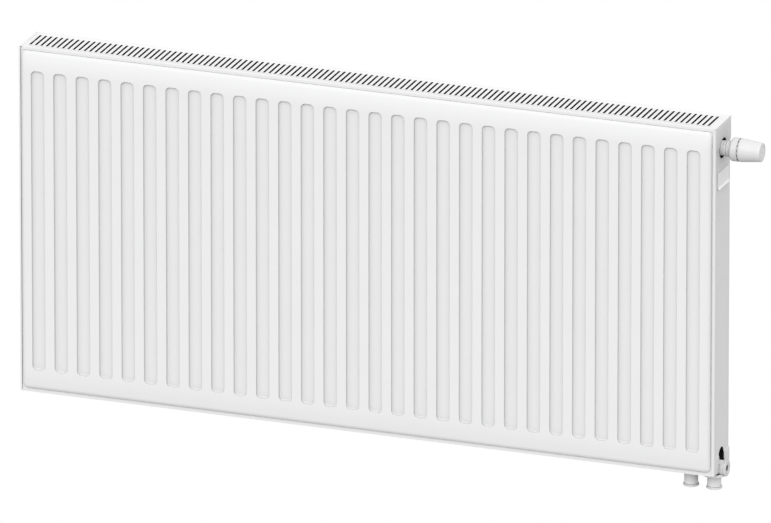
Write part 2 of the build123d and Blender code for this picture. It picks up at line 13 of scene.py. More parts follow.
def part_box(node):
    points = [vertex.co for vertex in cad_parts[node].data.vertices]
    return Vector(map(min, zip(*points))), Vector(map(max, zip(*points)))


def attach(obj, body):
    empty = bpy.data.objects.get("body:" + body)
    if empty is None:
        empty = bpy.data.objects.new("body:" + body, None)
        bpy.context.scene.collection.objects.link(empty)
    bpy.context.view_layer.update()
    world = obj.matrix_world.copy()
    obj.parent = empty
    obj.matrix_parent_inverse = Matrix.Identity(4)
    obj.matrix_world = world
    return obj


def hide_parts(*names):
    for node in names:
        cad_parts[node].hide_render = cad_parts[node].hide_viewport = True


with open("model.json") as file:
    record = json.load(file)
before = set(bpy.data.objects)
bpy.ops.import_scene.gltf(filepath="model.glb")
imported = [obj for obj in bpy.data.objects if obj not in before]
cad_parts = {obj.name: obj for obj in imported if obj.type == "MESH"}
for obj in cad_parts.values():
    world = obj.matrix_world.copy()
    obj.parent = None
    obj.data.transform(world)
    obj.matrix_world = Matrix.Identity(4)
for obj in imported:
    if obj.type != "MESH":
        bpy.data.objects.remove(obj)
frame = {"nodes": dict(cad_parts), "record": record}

log = logging.getLogger("radiator")
MM = 0.001
# Distances below this count as nothing, in the mesh's own unit.
LEAST_STEP = 1e-6
# A vertex this close to a border, in millimetres, lies on it.
NEAR = 0.01
# The line that the valve, the head and the vent share.
PIPE_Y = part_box("knob")[0].y / 2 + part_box("knob")[1].y / 2
VALVE_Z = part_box("knob")[0].z / 2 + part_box("knob")[1].z / 2
Point = tuple[float, float]
Place = tuple[float, float, float]
# A turned piece's outline: which end of the piece, the offset from there and the radius.
Outline = tuple[tuple[int, float, float], ...]
Mesh = bmesh.types.BMesh
Vert = bmesh.types.BMVert
Edge = bmesh.types.BMEdge
Face = bmesh.types.BMFace


class Side(Enum):
    """Which end of the radiator a cover belongs to; the value is the sign of X."""

    VENT = -1
    VALVE = 1


class Facing(Enum):
    """Which way a panel faces; the value is the sign of Y."""

    ROOM = -1
    WALL = 1


# ---- Finishes ----
def linear(hex_colour: str) -> tuple[float, float, float, float]:
    """Turn an sRGB hex colour into linear RGBA.

    Args:
        hex_colour: Six hex digits, with or without a leading hash.

    Returns:
        Linear red, green and blue, and an alpha of 1.
    """
    digits = hex_colour.lstrip("#")
    values = [int(digits[i : i + 2], 16) / 255 for i in (0, 2, 4)]
    red, green, blue = (v / 12.92 if v <= 0.04045 else ((v + 0.055) / 1.055) ** 2.4 for v in values)
    return red, green, blue, 1.0


def add_node(
    tree: bpy.types.NodeTree,
    kind: str,
    inputs: dict[Any, Any] | None = None,
    **settings: Any,
) -> bpy.types.Node:
    """Add one node with its settings and links.

    Args:
        tree: The node tree that gets the node.
        kind: The node's type name.
        inputs: Input name or index, and the value or the output socket that feeds it.
        **settings: Properties of the node itself.

    Returns:
        The new node.
    """
    node = tree.nodes.new(kind)
    for key, value in settings.items():
        setattr(node, key, value)
    for key, value in (inputs or {}).items():
        if isinstance(value, bpy.types.NodeSocket):
            tree.links.new(value, node.inputs[key])
        else:
            node.inputs[key].default_value = value
    return node


@dataclass(frozen=True)
class Finish:
    """A surface whose colour, gloss and relief wander a little, at real sizes in millimetres.

    Attributes:
        name: What the real finish is called.
        light: The brighter shade, in sRGB hex.
        dark: The darker shade, in sRGB hex.
        gloss: Roughness where the surface is smoothest and where it is dullest.
        patch_mm: Size of the patches that the two shades make.
        grain_mm: Size of the surface's grain.
        relief_mm: Height of the grain.
        metallic: 1 for bare metal, 0 for paint, plastic and rubber.
        ior: Index of refraction of a paint, plastic or rubber.
        coat: Weight of a clear film on top.
        rings_mm: Spacing of turned rings along X, or 0 for none.
    """

    name: str
    light: str
    dark: str
    gloss: Point = (0.35, 0.45)
    patch_mm: float = 60.0
    grain_mm: float = 1.6
    relief_mm: float = 0.01
    metallic: float = 0.0
    ior: float = 1.5
    coat: float = 0.0
    rings_mm: float = 0.0

    def build(self) -> bpy.types.Material:
        """Make the material, or return it if it is there already."""
        known = bpy.data.materials.get(self.name)
        if known:
            return known
        material = bpy.data.materials.new(self.name)
        material.use_nodes = True
        tree = material.node_tree
        tree.nodes.clear()
        spot = add_node(tree, "ShaderNodeTexCoord").outputs["Object"]
        patches = add_node(
            tree,
            "ShaderNodeTexNoise",
            {"Vector": spot, "Scale": 1 / (self.patch_mm * MM), "Detail": 3.0, "Roughness": 0.55},
        ).outputs["Fac"]
        colour = add_node(
            tree,
            "ShaderNodeMix",
            {"Factor": patches, 6: linear(self.light), 7: linear(self.dark)},
            data_type="RGBA",
        ).outputs[2]
        gloss = add_node(
            tree,
            "ShaderNodeMapRange",
            {
                "Value": patches,
                "From Min": 0.3,
                "From Max": 0.7,
                "To Min": self.gloss[0],
                "To Max": self.gloss[1],
            },
        ).outputs[0]
        grain = add_node(
            tree,
            "ShaderNodeTexNoise",
            {"Vector": spot, "Scale": 1 / (self.grain_mm * MM), "Detail": 2.0},
        ).outputs["Fac"]
        relief = add_node(
            tree,
            "ShaderNodeBump",
            {"Height": grain, "Distance": self.relief_mm * MM, "Strength": 1.0},
        ).outputs["Normal"]
        if self.rings_mm:
            rings = add_node(
                tree,
                "ShaderNodeTexWave",
                {"Vector": spot, "Scale": 0.05 / (self.rings_mm * MM), "Distortion": 0.0},
                bands_direction="X",
            ).outputs["Fac"]
            relief = add_node(
                tree,
                "ShaderNodeBump",
                {"Height": rings, "Distance": self.relief_mm * MM, "Normal": relief},
            ).outputs["Normal"]
        shader = add_node(
            tree,
            "ShaderNodeBsdfPrincipled",
            {
                "Base Color": colour,
                "Roughness": gloss,
                "Normal": relief,
                "Metallic": self.metallic,
                "Coat Weight": self.coat,
            },
        )
        if not self.metallic:
            shader.inputs["IOR"].default_value = self.ior
        add_node(tree, "ShaderNodeOutputMaterial", {"Surface": shader.outputs[0]})
        return material


# Stoved powder coat: a smooth semi-gloss white skin with a slight orange peel.
POWDER_COAT = Finish("powder_coat_white", "#D9D9D9", "#D6D6D7", (0.38, 0.46), 90.0, 1.8, 0.004)
# Painted shade: a dull black film on the inner steel, on the tee behind the slots and on the covers' inward
# faces, standing in for the shade inside the casing.
BLACK_PAINTED_SHADE = Finish("black_painted_shade", "#2A2A2B", "#1E1E1F", (0.5, 0.68), 25.0, 0.9, 0.006)
# Powder over cast and welded fittings, a little fuller in the corners and less even.
FITTING_COAT = Finish("fitting_coat_white", "#DEDEDE", "#D6D6D7", (0.34, 0.5), 14.0, 1.2, 0.012)
# Injection-moulded ABS with a fine spark-eroded grain, its white darkened as painted shade to tone down the
# knob's lit top; the collar and the spout share it.
ABS_PAINTED_SHADE = Finish("moulded_abs_painted_shade", "#CFCFCF", "#CBCBCB", (0.38, 0.48), 18.0, 0.5, 0.006, ior=1.53)
# The end cap in the ABS's undarkened white, lighter than the knob's painted-shade copy.
CAP_ABS = Finish("moulded_abs_cap", "#DDDDDD", "#DADADA", (0.38, 0.48), 18.0, 0.5, 0.006, ior=1.53)
# Light grey ABS of the scale ring behind the knob.
SCALE_ABS = Finish("moulded_abs_grey", "#BDBDBE", "#B0B0B1", (0.42, 0.52), 9.0, 0.5, 0.006, ior=1.53)
# Printed dots on the scale, matt ink.
SCALE_INK = Finish("pad_print_ink", "#3A3B3D", "#2E2F31", (0.55, 0.65), 4.0, 0.4, 0.002)
# Polyethylene end rings: waxy and slightly dull.
PE_RING = Finish("moulded_polyethylene", "#D7D7D7", "#CECECE", (0.42, 0.55), 10.0, 0.8, 0.008, ior=1.51)
# Painted brass plugs, rolled with the casing's white.
PLUG_COAT = Finish("plug_coat_white", "#D2D2D3", "#C7C7C8", (0.34, 0.46), 9.0, 1.0, 0.008)
# Bare turned brass with fine rings from the lathe.
TURNED_BRASS = Finish(
    "turned_brass", "#C9A45A", "#B8924A", (0.24, 0.34), 7.0, 0.6, 0.003, 1.0, rings_mm=0.45
)
# Cold-rolled spring strip with a light oil stain.
SPRING_STRIP = Finish("spring_steel", "#9EA0A3", "#85878A", (0.28, 0.42), 9.0, 0.4, 0.003, 1.0)
# Ground stainless pin.
GROUND_STAINLESS = Finish(
    "ground_stainless", "#C4C5C7", "#B2B3B6", (0.18, 0.28), 5.0, 0.3, 0.002, 1.0, rings_mm=0.3
)
# Painted shade: darker dull metal on the deep faces of a plug's six-sided socket, standing in for the shade
# in the recess.
SOCKET_PAINTED_SHADE = Finish("socket_painted_shade", "#BBBBBC", "#A5A5A7", (0.4, 0.55), 3.0, 0.4, 0.004, 1.0)
# Black EPDM rings and valve disc with mould bloom.
EPDM = Finish("epdm_rubber", "#1D1D1E", "#262627", (0.6, 0.75), 4.0, 0.5, 0.006, ior=1.52)
# Printed polyester film of the side badge.
BADGE_FILM = Finish("badge_film", "#E3E3E4", "#E0E0E1", (0.2, 0.28), 20.0, 1.5, 0.001, coat=0.3)
# The raised bar on that film, whiter than the film as painted highlight.
BADGE_BAR_HIGHLIGHT = Finish("badge_bar_painted_highlight", "#F8F8F8", "#F5F5F5", (0.15, 0.2), 12.0, 1.5, 0.001, coat=0.5)
# White-coated union nut.
UNION_COAT = Finish("union_coat_white", "#D9D9DA", "#CFCFD0", (0.32, 0.44), 8.0, 0.9, 0.008)

SLOT_FINISH: dict[str, Finish] = {
    "casing": POWDER_COAT,
    "inner_steel": BLACK_PAINTED_SHADE,
    "fitting_steel": FITTING_COAT,
    "protective_plastic": PE_RING,
    "spring_steel": SPRING_STRIP,
    "badge_film": BADGE_FILM,
    "plug_metal": PLUG_COAT,
    "brass_parts": TURNED_BRASS,
    "stainless": GROUND_STAINLESS,
    "rubber_parts": EPDM,
    "head_plastic": ABS_PAINTED_SHADE,
    "scale_plastic": SCALE_ABS,
    "union_metal": UNION_COAT,
}


# ---- Mesh helpers ----
def move(bm: Mesh, vec: Sequence[float], verts: Sequence[Vert] | None = None) -> None:
    """Shift a mesh, or some of its vertices.

    Args:
        bm: The mesh.
        vec: How far along each axis.
        verts: The vertices that move, or None for all.
    """
    bmesh.ops.translate(bm, verts=bm.verts[:] if verts is None else verts, vec=vec)


def turn(bm: Mesh, degrees: float, axis: str, verts: Sequence[Vert] | None = None) -> None:
    """Turn a mesh, or some of its vertices, about an axis through the origin.

    Args:
        bm: The mesh.
        degrees: How far.
        axis: X, Y or Z.
        verts: The vertices that turn, or None for all.
    """
    matrix = Matrix.Rotation(math.radians(degrees), 3, axis)
    bmesh.ops.rotate(bm, verts=bm.verts[:] if verts is None else verts, cent=(0, 0, 0), matrix=matrix)


def to_metres(bm: Mesh) -> None:
    """Scale a mesh that was drawn in millimetres."""
    bmesh.ops.scale(bm, vec=(MM, MM, MM), verts=bm.verts[:])


def merge(bm: Mesh, other: Mesh) -> list[Edge]:
    """Copy another mesh into this one, and free it.

    Args:
        bm: The mesh that grows.
        other: The mesh that is copied and freed.

    Returns:
        The edges that it brought.
    """
    before = set(bm.edges)
    carrier = bpy.data.meshes.new("carrier")
    other.to_mesh(carrier)
    other.free()
    bm.from_mesh(carrier)
    bpy.data.meshes.remove(carrier)
    return [e for e in bm.edges if e not in before]


def round_off(
    bm: Mesh,
    geom: Sequence[Vert] | Sequence[Edge],
    affect: str,
    radius: float,
    segments: int,
    clamp: bool = False,
) -> None:
    """Bevel corners or edges round.

    Args:
        bm: The mesh.
        geom: The corners or edges.
        affect: VERTICES or EDGES.
        radius: Width of the bevel.
        segments: Segments across it.
        clamp: Whether neighbouring bevels stop where they meet.
    """
    bmesh.ops.bevel(
        bm,
        geom=geom,
        affect=affect,
        offset=radius,
        segments=segments,
        profile=0.5,
        material=-1,
        clamp_overlap=clamp,
    )


def rectangle(bm: Mesh, size: Point, middle: Place = (0.0, 0.0, 0.0)) -> list[Vert]:
    """Add a flat rectangle parallel to the XY plane.

    Args:
        bm: The mesh that gets it.
        size: Width along X and height along Y.
        middle: Its middle.

    Returns:
        Its four corners.
    """
    corners = bmesh.ops.create_grid(bm, x_segments=1, y_segments=1, size=0.5)["verts"]
    bmesh.ops.scale(bm, vec=(size[0], size[1], 1), verts=corners)
    move(bm, middle, corners)
    return corners


def rounded_face(bm: Mesh, size: Point, radius: float, segments: int = 6) -> Face:
    """Add a flat rectangle with rounded corners in the XY plane, centred on the origin.

    Args:
        bm: The mesh that gets the face.
        size: Width along X and height along Y.
        radius: Corner radius.
        segments: Segments in each corner.

    Returns:
        The face, facing +Z.
    """
    corners = rectangle(bm, size)
    face = corners[0].link_faces[0]
    before = set(bm.faces) - {face}
    round_off(bm, corners, "VERTICES", radius, segments)
    return next(f for f in bm.faces if f not in before)


def bend(radius: float, start: float, end: float, count: int) -> list[Point]:
    """Steps across and down that follow an arc whose slope turns from start to end.

    Args:
        radius: Bend radius.
        start: Slope at the beginning, in degrees from the sheet.
        end: Slope at the end, in degrees.
        count: Number of steps.

    Returns:
        (across, down) for each step.
    """
    slopes = [math.radians(start + (end - start) * i / count) for i in range(count + 1)]
    return [
        (
            max(radius * abs(math.sin(b) - math.sin(a)), LEAST_STEP),
            radius * abs(math.cos(a) - math.cos(b)),
        )
        for a, b in zip(slopes, slopes[1:])
    ]


def press(bm: Mesh, face: Face, steps: Iterable[Point], sign: float) -> None:
    """Press a face in or out through a series of inset steps.

    Args:
        bm: The mesh.
        face: The face that moves; it stays valid and ends as the pressing's floor.
        steps: (across, down) for each step.
        sign: +1 raises the face along its normal and -1 sinks it.
    """
    for across, down in steps:
        bmesh.ops.inset_individual(
            bm, faces=[face], thickness=across, depth=sign * down, use_even_offset=True
        )


def repeat(bm: Mesh, count: int, pitch: float) -> None:
    """Repeat the whole mesh along X, centred on the origin.

    Args:
        bm: The mesh with one element, centred on the origin.
        count: How many there are in the end.
        pitch: Spacing.
    """
    first = bm.verts[:] + bm.edges[:] + bm.faces[:]
    move(bm, (-pitch * (count - 1) / 2, 0, 0))
    for i in range(1, count):
        copy = bmesh.ops.duplicate(bm, geom=first)["geom"]
        move(bm, (pitch * i, 0, 0), [v for v in copy if isinstance(v, Vert)])


def fill_between(bm: Mesh, edges: Sequence[Edge]) -> None:
    """Fill the flat land between an outline and the openings in it, facing +Z."""
    made = bmesh.ops.triangle_fill(bm, use_beauty=True, use_dissolve=False, edges=edges, normal=(0, 0, 1))
    faces = [f for f in made["geom"] if isinstance(f, Face)]
    bmesh.ops.reverse_faces(bm, faces=[f for f in faces if f.normal.z < 0])


def open_edges(bm: Mesh) -> list[Edge]:
    """Edges with a face on one side only, or none."""
    return [e for e in bm.edges if len(e.link_faces) < 2]


def crease(bm: Mesh, at: Place, across: Place) -> None:
    """Divide every face that a plane crosses.

    Args:
        bm: The mesh.
        at: A point of the plane.
        across: The plane's normal.
    """
    geom = bm.verts[:] + bm.edges[:] + bm.faces[:]
    bmesh.ops.bisect_plane(bm, geom=geom, plane_co=at, plane_no=across)


def extrude(bm: Mesh, edges: Sequence[Edge], vec: Sequence[float]) -> None:
    """Draw new faces out of edges."""
    made = bmesh.ops.extrude_edge_only(bm, edges=edges)["geom"]
    move(bm, vec, [v for v in made if isinstance(v, Vert)])


def fold_back(bm: Mesh, chosen: Callable[[Vert], bool], width: float, radius: float) -> None:
    """Fold a border of a flat sheet down into a lip.

    Args:
        bm: The sheet, facing +Z.
        chosen: Says which vertices are on the border.
        width: Width of the lip.
        radius: Radius of the fold.
    """
    edges = [e for e in bm.edges if len(e.link_faces) == 1 and all(chosen(v) for v in e.verts)]
    extrude(bm, edges, (0, 0, -width))
    round_off(bm, edges, "EDGES", radius, 4)


def soften(bm: Mesh, width: float, segments: int = 3, least: float = 30.0) -> None:
    """Round every edge sharper than an angle.

    Args:
        bm: The mesh.
        width: Bevel width.
        segments: Bevel segments.
        least: Edges whose faces turn by less than this many degrees stay.
    """
    bm.normal_update()
    limit = math.radians(least)
    sharp = [e for e in bm.edges if len(e.link_faces) == 2 and e.calc_face_angle(0) > limit]
    round_off(bm, sharp, "EDGES", width, segments, clamp=True)


def spun(points: Sequence[Point], steps: int = 72, centre: Point = (PIPE_Y, VALVE_Z)) -> Mesh:
    """A turned shape about a line along X.

    Args:
        points: (x, radius) in millimetres, of a closed outline or an open one that ends on the axis.
        steps: Steps round.
        centre: Y and Z of the line, in metres.

    Returns:
        The mesh, with its faces outwards.
    """
    bm = bmesh.new()
    verts = [bm.verts.new((x * MM, centre[0] + r * MM, centre[1])) for x, r in points]
    pairs = list(zip(verts, verts[1:]))
    if points[0][1] > 0 or points[-1][1] > 0:
        pairs.append((verts[-1], verts[0]))
    edges = [bm.edges.new(pair) for pair in pairs]
    bmesh.ops.spin(
        bm,
        geom=verts + edges,
        cent=(0, *centre),
        axis=(1, 0, 0),
        angle=math.tau,
        steps=steps,
        use_merge=True,
        use_duplicate=False,
    )
    bmesh.ops.remove_doubles(bm, verts=bm.verts[:], dist=LEAST_STEP)
    bmesh.ops.recalc_face_normals(bm, faces=bm.faces[:])
    return bm


def span(shape: Outline, low: float, high: float, sign: int = 1) -> list[Point]:
    """Place a turned piece's outline between its two ends.

    Args:
        shape: (end, offset, radius) in millimetres; end 0 counts from low and end 1 from high.
        low: The first end, in metres.
        high: The other end, in metres.
        sign: -1 where the offsets count the other way.

    Returns:
        (position, radius) of each point, in millimetres.
    """
    ends = low / MM, high / MM
    return [(ends[end] + sign * offset, radius) for end, offset, radius in shape]


def turned(node: str, shape: Outline, steps: int = 72, soft: float = 0.0) -> Mesh:
    """A turned shape on the valve's line, between a node's two ends.

    Args:
        node: The CAD node.
        shape: The outline, as span takes it.
        steps: Steps round.
        soft: Rounding of its sharp edges in millimetres.

    Returns:
        The mesh.
    """
    low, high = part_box(node)
    bm = spun(span(shape, low.x, high.x), steps)
    if soft:
        soften(bm, soft * MM)
    return bm


def knurl(bm: Mesh, chosen: Callable[[Vector], bool], radius: float, border: float, depth: float) -> None:
    """Press in every second face of a ring about the valve's line. Sizes are in millimetres.

    Args:
        bm: The mesh.
        chosen: Says from a face's middle whether it is in the ring.
        radius: Faces nearer to the line than this stay.
        border: What is left round each pressed face.
        depth: How far it is pressed in.
    """
    ring = []
    for face in bm.faces:
        middle = face.calc_center_median()
        away = middle.yz - Vector((PIPE_Y, VALVE_Z))
        if chosen(middle) and away.length > radius * MM:
            ring.append((math.atan2(away.y, away.x), face))
    ring.sort(key=lambda pair: pair[0])
    bmesh.ops.inset_individual(
        bm,
        faces=[face for _, face in ring[::2]],
        thickness=border * MM,
        depth=-depth * MM,
        use_even_offset=True,
    )


def bar(bm: Mesh, sides: int, radius: float, length: float, middle: Place) -> list[Vert]:
    """Add a closed bar along X.

    Args:
        bm: The mesh that gets it.
        sides: Number of sides.
        radius: Radius over the corners.
        length: Its length.
        middle: The middle of it.

    Returns:
        Its vertices.
    """
    made = bmesh.ops.create_cone(
        bm,
        cap_ends=True,
        segments=sides,
        radius1=radius,
        radius2=radius,
        depth=length,
    )["verts"]
    turn(bm, 90, "Y", made)
    move(bm, middle, made)
    return made


def stand_up(bm: Mesh, centre: Place) -> None:
    """Turn a mesh that was spun about X at the origin to stand along +Z at a place."""
    turn(bm, -90, "Y")
    move(bm, centre)


def carve(bm: Mesh, cutters: Sequence[Mesh]) -> Mesh:
    """Cut closed shapes out of a closed shape.

    Args:
        bm: The shape that is cut; it is freed.
        cutters: The shapes that cut it; they are freed.

    Returns:
        A new mesh.
    """
    holders = []
    for i, shape in enumerate([bm, *cutters]):
        mesh = bpy.data.meshes.new(f"carve_{i}")
        shape.to_mesh(mesh)
        shape.free()
        holder = bpy.data.objects.new(f"carve_{i}", mesh)
        bpy.context.scene.collection.objects.link(holder)
        holders.append(holder)
    for cutter in holders[1:]:
        cut = holders[0].modifiers.new("cut", "BOOLEAN")
        cut.operation = "DIFFERENCE"
        cut.solver = "EXACT"
        cut.object = cutter
    bpy.context.view_layer.update()
    result = bpy.data.meshes.new_from_object(holders[0].evaluated_get(bpy.context.evaluated_depsgraph_get()))
    done = bmesh.new()
    done.from_mesh(result)
    bpy.data.meshes.remove(result)
    for holder in holders:
        mesh = holder.data
        bpy.data.objects.remove(holder)
        bpy.data.meshes.remove(mesh)
    return done


def place(
    bm: Mesh,
    name: str,
    body: str,
    finishes: Finish | Sequence[Finish],
    stands_for: Sequence[str] = (),
    sharp: float = 40.0,
) -> bpy.types.Object:
    """Turn a finished mesh into a dressed piece that rides on its body.

    Args:
        bm: The mesh, in its place; it is freed.
        name: The piece's name.
        body: The body that it moves with.
        finishes: Its finish, or one for each material index.
        stands_for: The CAD nodes that it replaces.
        sharp: Edges that turn by more degrees than this are drawn sharp.

    Returns:
        The object.
    """
    mesh = bpy.data.meshes.new(name)
    bm.to_mesh(mesh)
    bm.free()
    mesh.shade_smooth()
    mesh.set_sharp_from_angle(angle=math.radians(sharp))
    piece = bpy.data.objects.new(name, mesh)
    bpy.context.scene.collection.objects.link(piece)
    for finish in [finishes] if isinstance(finishes, Finish) else finishes:
        mesh.materials.append(finish.build())
    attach(piece, body)
    if stands_for:
        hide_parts(*stands_for)
    log.info("%s: %d faces on %s", name, len(mesh.polygons), body)
    return piece


def smoothstep(value: float, low: float, high: float) -> float:
    """0 below low, 1 above high and a smooth rise between."""
    t = min(max((value - low) / (high - low), 0.0), 1.0)
    return t * t * (3 - 2 * t)


# ---- Studio ----
@dataclass
class Studio:
    """The camera, the light and the pale floor."""

    azimuth: float = 20.27
    elevation: float = 19.42
    distance: float = 46.0
    lens_per_metre: float = 22.818
    sensor: float = 36.0
    clip: Point = (0.1, 400.0)
    aim: Place = (0.0441, -0.1043, 0.3788)
    ambient: float = 0.87
    slant: Place = (0.0, -0.11, 0.4)
    key: float = 1.16
    key_from: Place = (0.02, -0.25, 0.2)
    key_spread: float = 25.0
    diffuse_bounces: int = 0
    floor_z: float = -2.0
    floor_half: float = 60.0

    def build(self) -> None:
        """Set up everything that is not part of the object."""
        self.place_camera()
        self.place_lights()
        self.lay_floor()
        settings = bpy.context.scene.view_settings
        settings.view_transform = "Standard"
        settings.look = "None"
        bpy.context.scene.cycles.diffuse_bounces = self.diffuse_bounces

    def place_camera(self) -> None:
        """A long lens, level, high and to the right of the front."""
        a, e = math.radians(self.azimuth), math.radians(self.elevation)
        back = Vector((math.sin(a) * math.cos(e), -math.cos(a) * math.cos(e), math.sin(e)))
        data = bpy.data.cameras.new("camera")
        data.lens = self.lens_per_metre * self.distance
        data.sensor_width = self.sensor
        data.clip_start, data.clip_end = self.clip
        camera = bpy.data.objects.new("camera", data)
        camera.location = Vector(self.aim) + back * self.distance
        camera.rotation_euler = back.to_track_quat("Z", "Y").to_euler()
        bpy.context.scene.collection.objects.link(camera)
        bpy.context.scene.camera = camera

    def place_lights(self) -> None:
        """An even white surround and one very soft key from above and in front."""
        world = bpy.data.worlds.new("studio")
        world.use_nodes = True
        tree = world.node_tree
        tree.nodes.clear()
        seen = add_node(tree, "ShaderNodeLightPath").outputs["Is Camera Ray"]
        towards = add_node(tree, "ShaderNodeTexCoord").outputs["Generated"]
        lean = add_node(
            tree, "ShaderNodeVectorMath", {0: towards, 1: self.slant}, operation="DOT_PRODUCT"
        ).outputs["Value"]
        level = add_node(tree, "ShaderNodeMath", {0: lean, 1: self.ambient}, operation="ADD").outputs[0]
        surround = add_node(tree, "ShaderNodeBackground", {"Color": (1, 1, 1, 1), "Strength": level})
        backdrop = add_node(tree, "ShaderNodeBackground", {"Color": (1, 1, 1, 1), "Strength": 1.0})
        mix = add_node(
            tree,
            "ShaderNodeMixShader",
            {0: seen, 1: surround.outputs[0], 2: backdrop.outputs[0]},
        )
        add_node(tree, "ShaderNodeOutputWorld", {"Surface": mix.outputs[0]})
        bpy.context.scene.world = world
        data = bpy.data.lights.new("key", "SUN")
        data.energy = self.key
        data.angle = math.radians(self.key_spread)
        key = bpy.data.objects.new("key", data)
        key.rotation_euler = Vector(self.key_from).to_track_quat("Z", "Y").to_euler()
        bpy.context.scene.collection.objects.link(key)

    def lay_floor(self) -> None:
        """A white floor far below, which only the camera sees, and only from above."""
        bm = bmesh.new()
        bmesh.ops.create_grid(bm, x_segments=1, y_segments=1, size=self.floor_half)
        move(bm, (0, 0, self.floor_z))
        mesh = bpy.data.meshes.new("floor")
        bm.to_mesh(mesh)
        bm.free()
        material = bpy.data.materials.new("pale_floor")
        material.use_nodes = True
        tree = material.node_tree
        tree.nodes.clear()
        glow = add_node(tree, "ShaderNodeEmission", {"Color": (1, 1, 1, 1), "Strength": 1.0})
        clear = add_node(tree, "ShaderNodeBsdfTransparent")
        side = add_node(tree, "ShaderNodeNewGeometry")
        under = {0: side.outputs["Backfacing"], 1: glow.outputs[0], 2: clear.outputs[0]}
        shown = add_node(tree, "ShaderNodeMixShader", under)
        add_node(tree, "ShaderNodeOutputMaterial", {"Surface": shown.outputs[0]})
        mesh.materials.append(material)
        floor = bpy.data.objects.new("floor", mesh)
        bpy.context.scene.collection.objects.link(floor)
        floor.visible_diffuse = False
        floor.visible_glossy = False
        floor.visible_shadow = False


# ---- Panels ----
@dataclass
class PressedPanel:
    """An outer sheet: a flat rim, a raised tray with rounded edges and 30 pressed grooves."""

    facing: Facing
    node: str
    name: str
    groove_count: int = 30
    groove_pitch: float = 49.27
    groove_size: Point = (29.4, 652.6)
    groove_radius: float = 10.0
    groove_depth: float = 5.0
    groove_mid_z: float = 376.0
    wall_slope: float = 79.0
    mouth_bend: float = 0.7
    floor_bend: float = 3.8
    tray_half_x: float = 751.3
    tray_z: Point = (7.4, 743.5)
    tray_radius: float = 10.0
    tray_rise: float = 9.5
    tray_lean: float = 1e-5
    edge_bend: float = 8.4
    dome: float = 44.0
    low_drop: float = 3.8
    high_drop: float = 7.2
    side_dome: float = 17.0
    side_drop: float = 2.6
    dome_rows: int = 9
    foot_bend: float = 0.6
    land: float = 0.4
    sheet: float = 1.2
    rim_x: Point = (-754.2, 754.0)
    rim_z: Point = (-1.0, 747.6)

    def groove(self, bm: Mesh) -> None:
        """Press one groove about the origin, with a thin flat border round its mouth."""
        slope = math.radians(self.wall_slope)
        sine, cosine = math.sin(slope), math.cos(slope)
        bends = self.mouth_bend + self.floor_bend
        wall = (self.groove_depth - bends * (1 - cosine)) / sine
        grow = self.mouth_bend * sine / 2 + self.land
        size = (self.groove_size[0] + 2 * grow, self.groove_size[1] + 2 * grow)
        face = rounded_face(bm, size, self.groove_radius + grow, 8)
        steps = [(self.land, 0.0)]
        steps += bend(self.mouth_bend, 0, self.wall_slope, 4)
        steps += [(wall * cosine, wall * sine)]
        steps += bend(self.floor_bend, self.wall_slope, 0, 6)
        steps += [(self.land, 0.0)]
        press(bm, face, steps, -1)

    def tray(self, bm: Mesh) -> Face:
        """Raise the tray from the rim's plane and return its flat top."""
        grow = self.foot_bend + self.land
        size = (2 * (self.tray_half_x + grow), self.tray_z[1] - self.tray_z[0] + 2 * grow)
        face = rounded_face(bm, size, self.tray_radius + grow, 8)
        steps = [(self.land, 0.0)]
        steps += bend(self.foot_bend, 0, 90, 3)
        steps += [(self.tray_lean, self.tray_rise - self.foot_bend - self.edge_bend)]
        steps += bend(self.edge_bend, 90, 0, 8)
        steps += [(self.land, 0.0)]
        press(bm, face, steps, 1)
        return face

    def build(self) -> bpy.types.Object:
        """Make the sheet and put it in its place."""
        bm = bmesh.new()
        top = self.tray(bm)
        move(bm, (0, sum(self.tray_z) / 2, 0))
        rise = top.calc_center_median().z
        outline = open_edges(bm)
        land_edges = list(top.edges)
        bmesh.ops.delete(bm, geom=[top], context="FACES_ONLY")

        rim = bmesh.new()
        rim_size = (self.rim_x[1] - self.rim_x[0], self.rim_z[1] - self.rim_z[0])
        corners = rectangle(rim, rim_size, (sum(self.rim_x) / 2, sum(self.rim_z) / 2, 0))
        bmesh.ops.delete(rim, geom=corners[0].link_faces[:], context="FACES_ONLY")
        fill_between(bm, outline + merge(bm, rim))

        grooves = bmesh.new()
        self.groove(grooves)
        repeat(grooves, self.groove_count, self.groove_pitch)
        move(grooves, (0, self.groove_mid_z, rise))
        mouths = [e for e in merge(bm, grooves) if len(e.link_faces) == 1]
        fill_between(bm, land_edges + mouths)
        self.crown(bm)

        bmesh.ops.solidify(bm, geom=bm.faces[:], thickness=self.sheet)
        to_metres(bm)
        self.stand(bm)
        return place(bm, self.name, "radiator", POWDER_COAT, [self.node])

    def crown(self, bm: Mesh) -> None:
        """Curve the two water headers and, less, the two side channels back towards the rim."""
        edge_x = self.tray_half_x
        low, high = self.tray_z
        for i in range(self.dome_rows):
            across = self.dome * (i + 1) / self.dome_rows
            for z in (low + across, high - across):
                crease(bm, (0, z, 0), (0, 1, 0))
        for i in range(self.dome_rows // 2):
            across = self.side_dome * (i + 1) / (self.dome_rows // 2)
            for x in (across - edge_x, edge_x - across):
                crease(bm, (x, 0, 0), (1, 0, 0))
        for vert in bm.verts:
            sink = 0.0
            for near, reach, drop in (
                (vert.co.y - low, self.dome, self.low_drop),
                (high - vert.co.y, self.dome, self.high_drop),
                (edge_x - abs(vert.co.x), self.side_dome, self.side_drop),
            ):
                sink += drop * (1 - min(max(near / reach, 0), 1)) ** 2
            vert.co.z -= sink * min(max(vert.co.z / self.tray_rise, 0), 1)

    def stand(self, bm: Mesh) -> None:
        """Stand the sheet up, facing the room or the wall, against its CAD place."""
        turn(bm, 90, "X")
        if self.facing is Facing.WALL:
            turn(bm, 180, "Z")
        low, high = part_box(self.node)
        reach = max(v.co.y * self.facing.value for v in bm.verts)
        face = low.y if self.facing is Facing.ROOM else high.y
        move(bm, (0, face - self.facing.value * reach, 0))


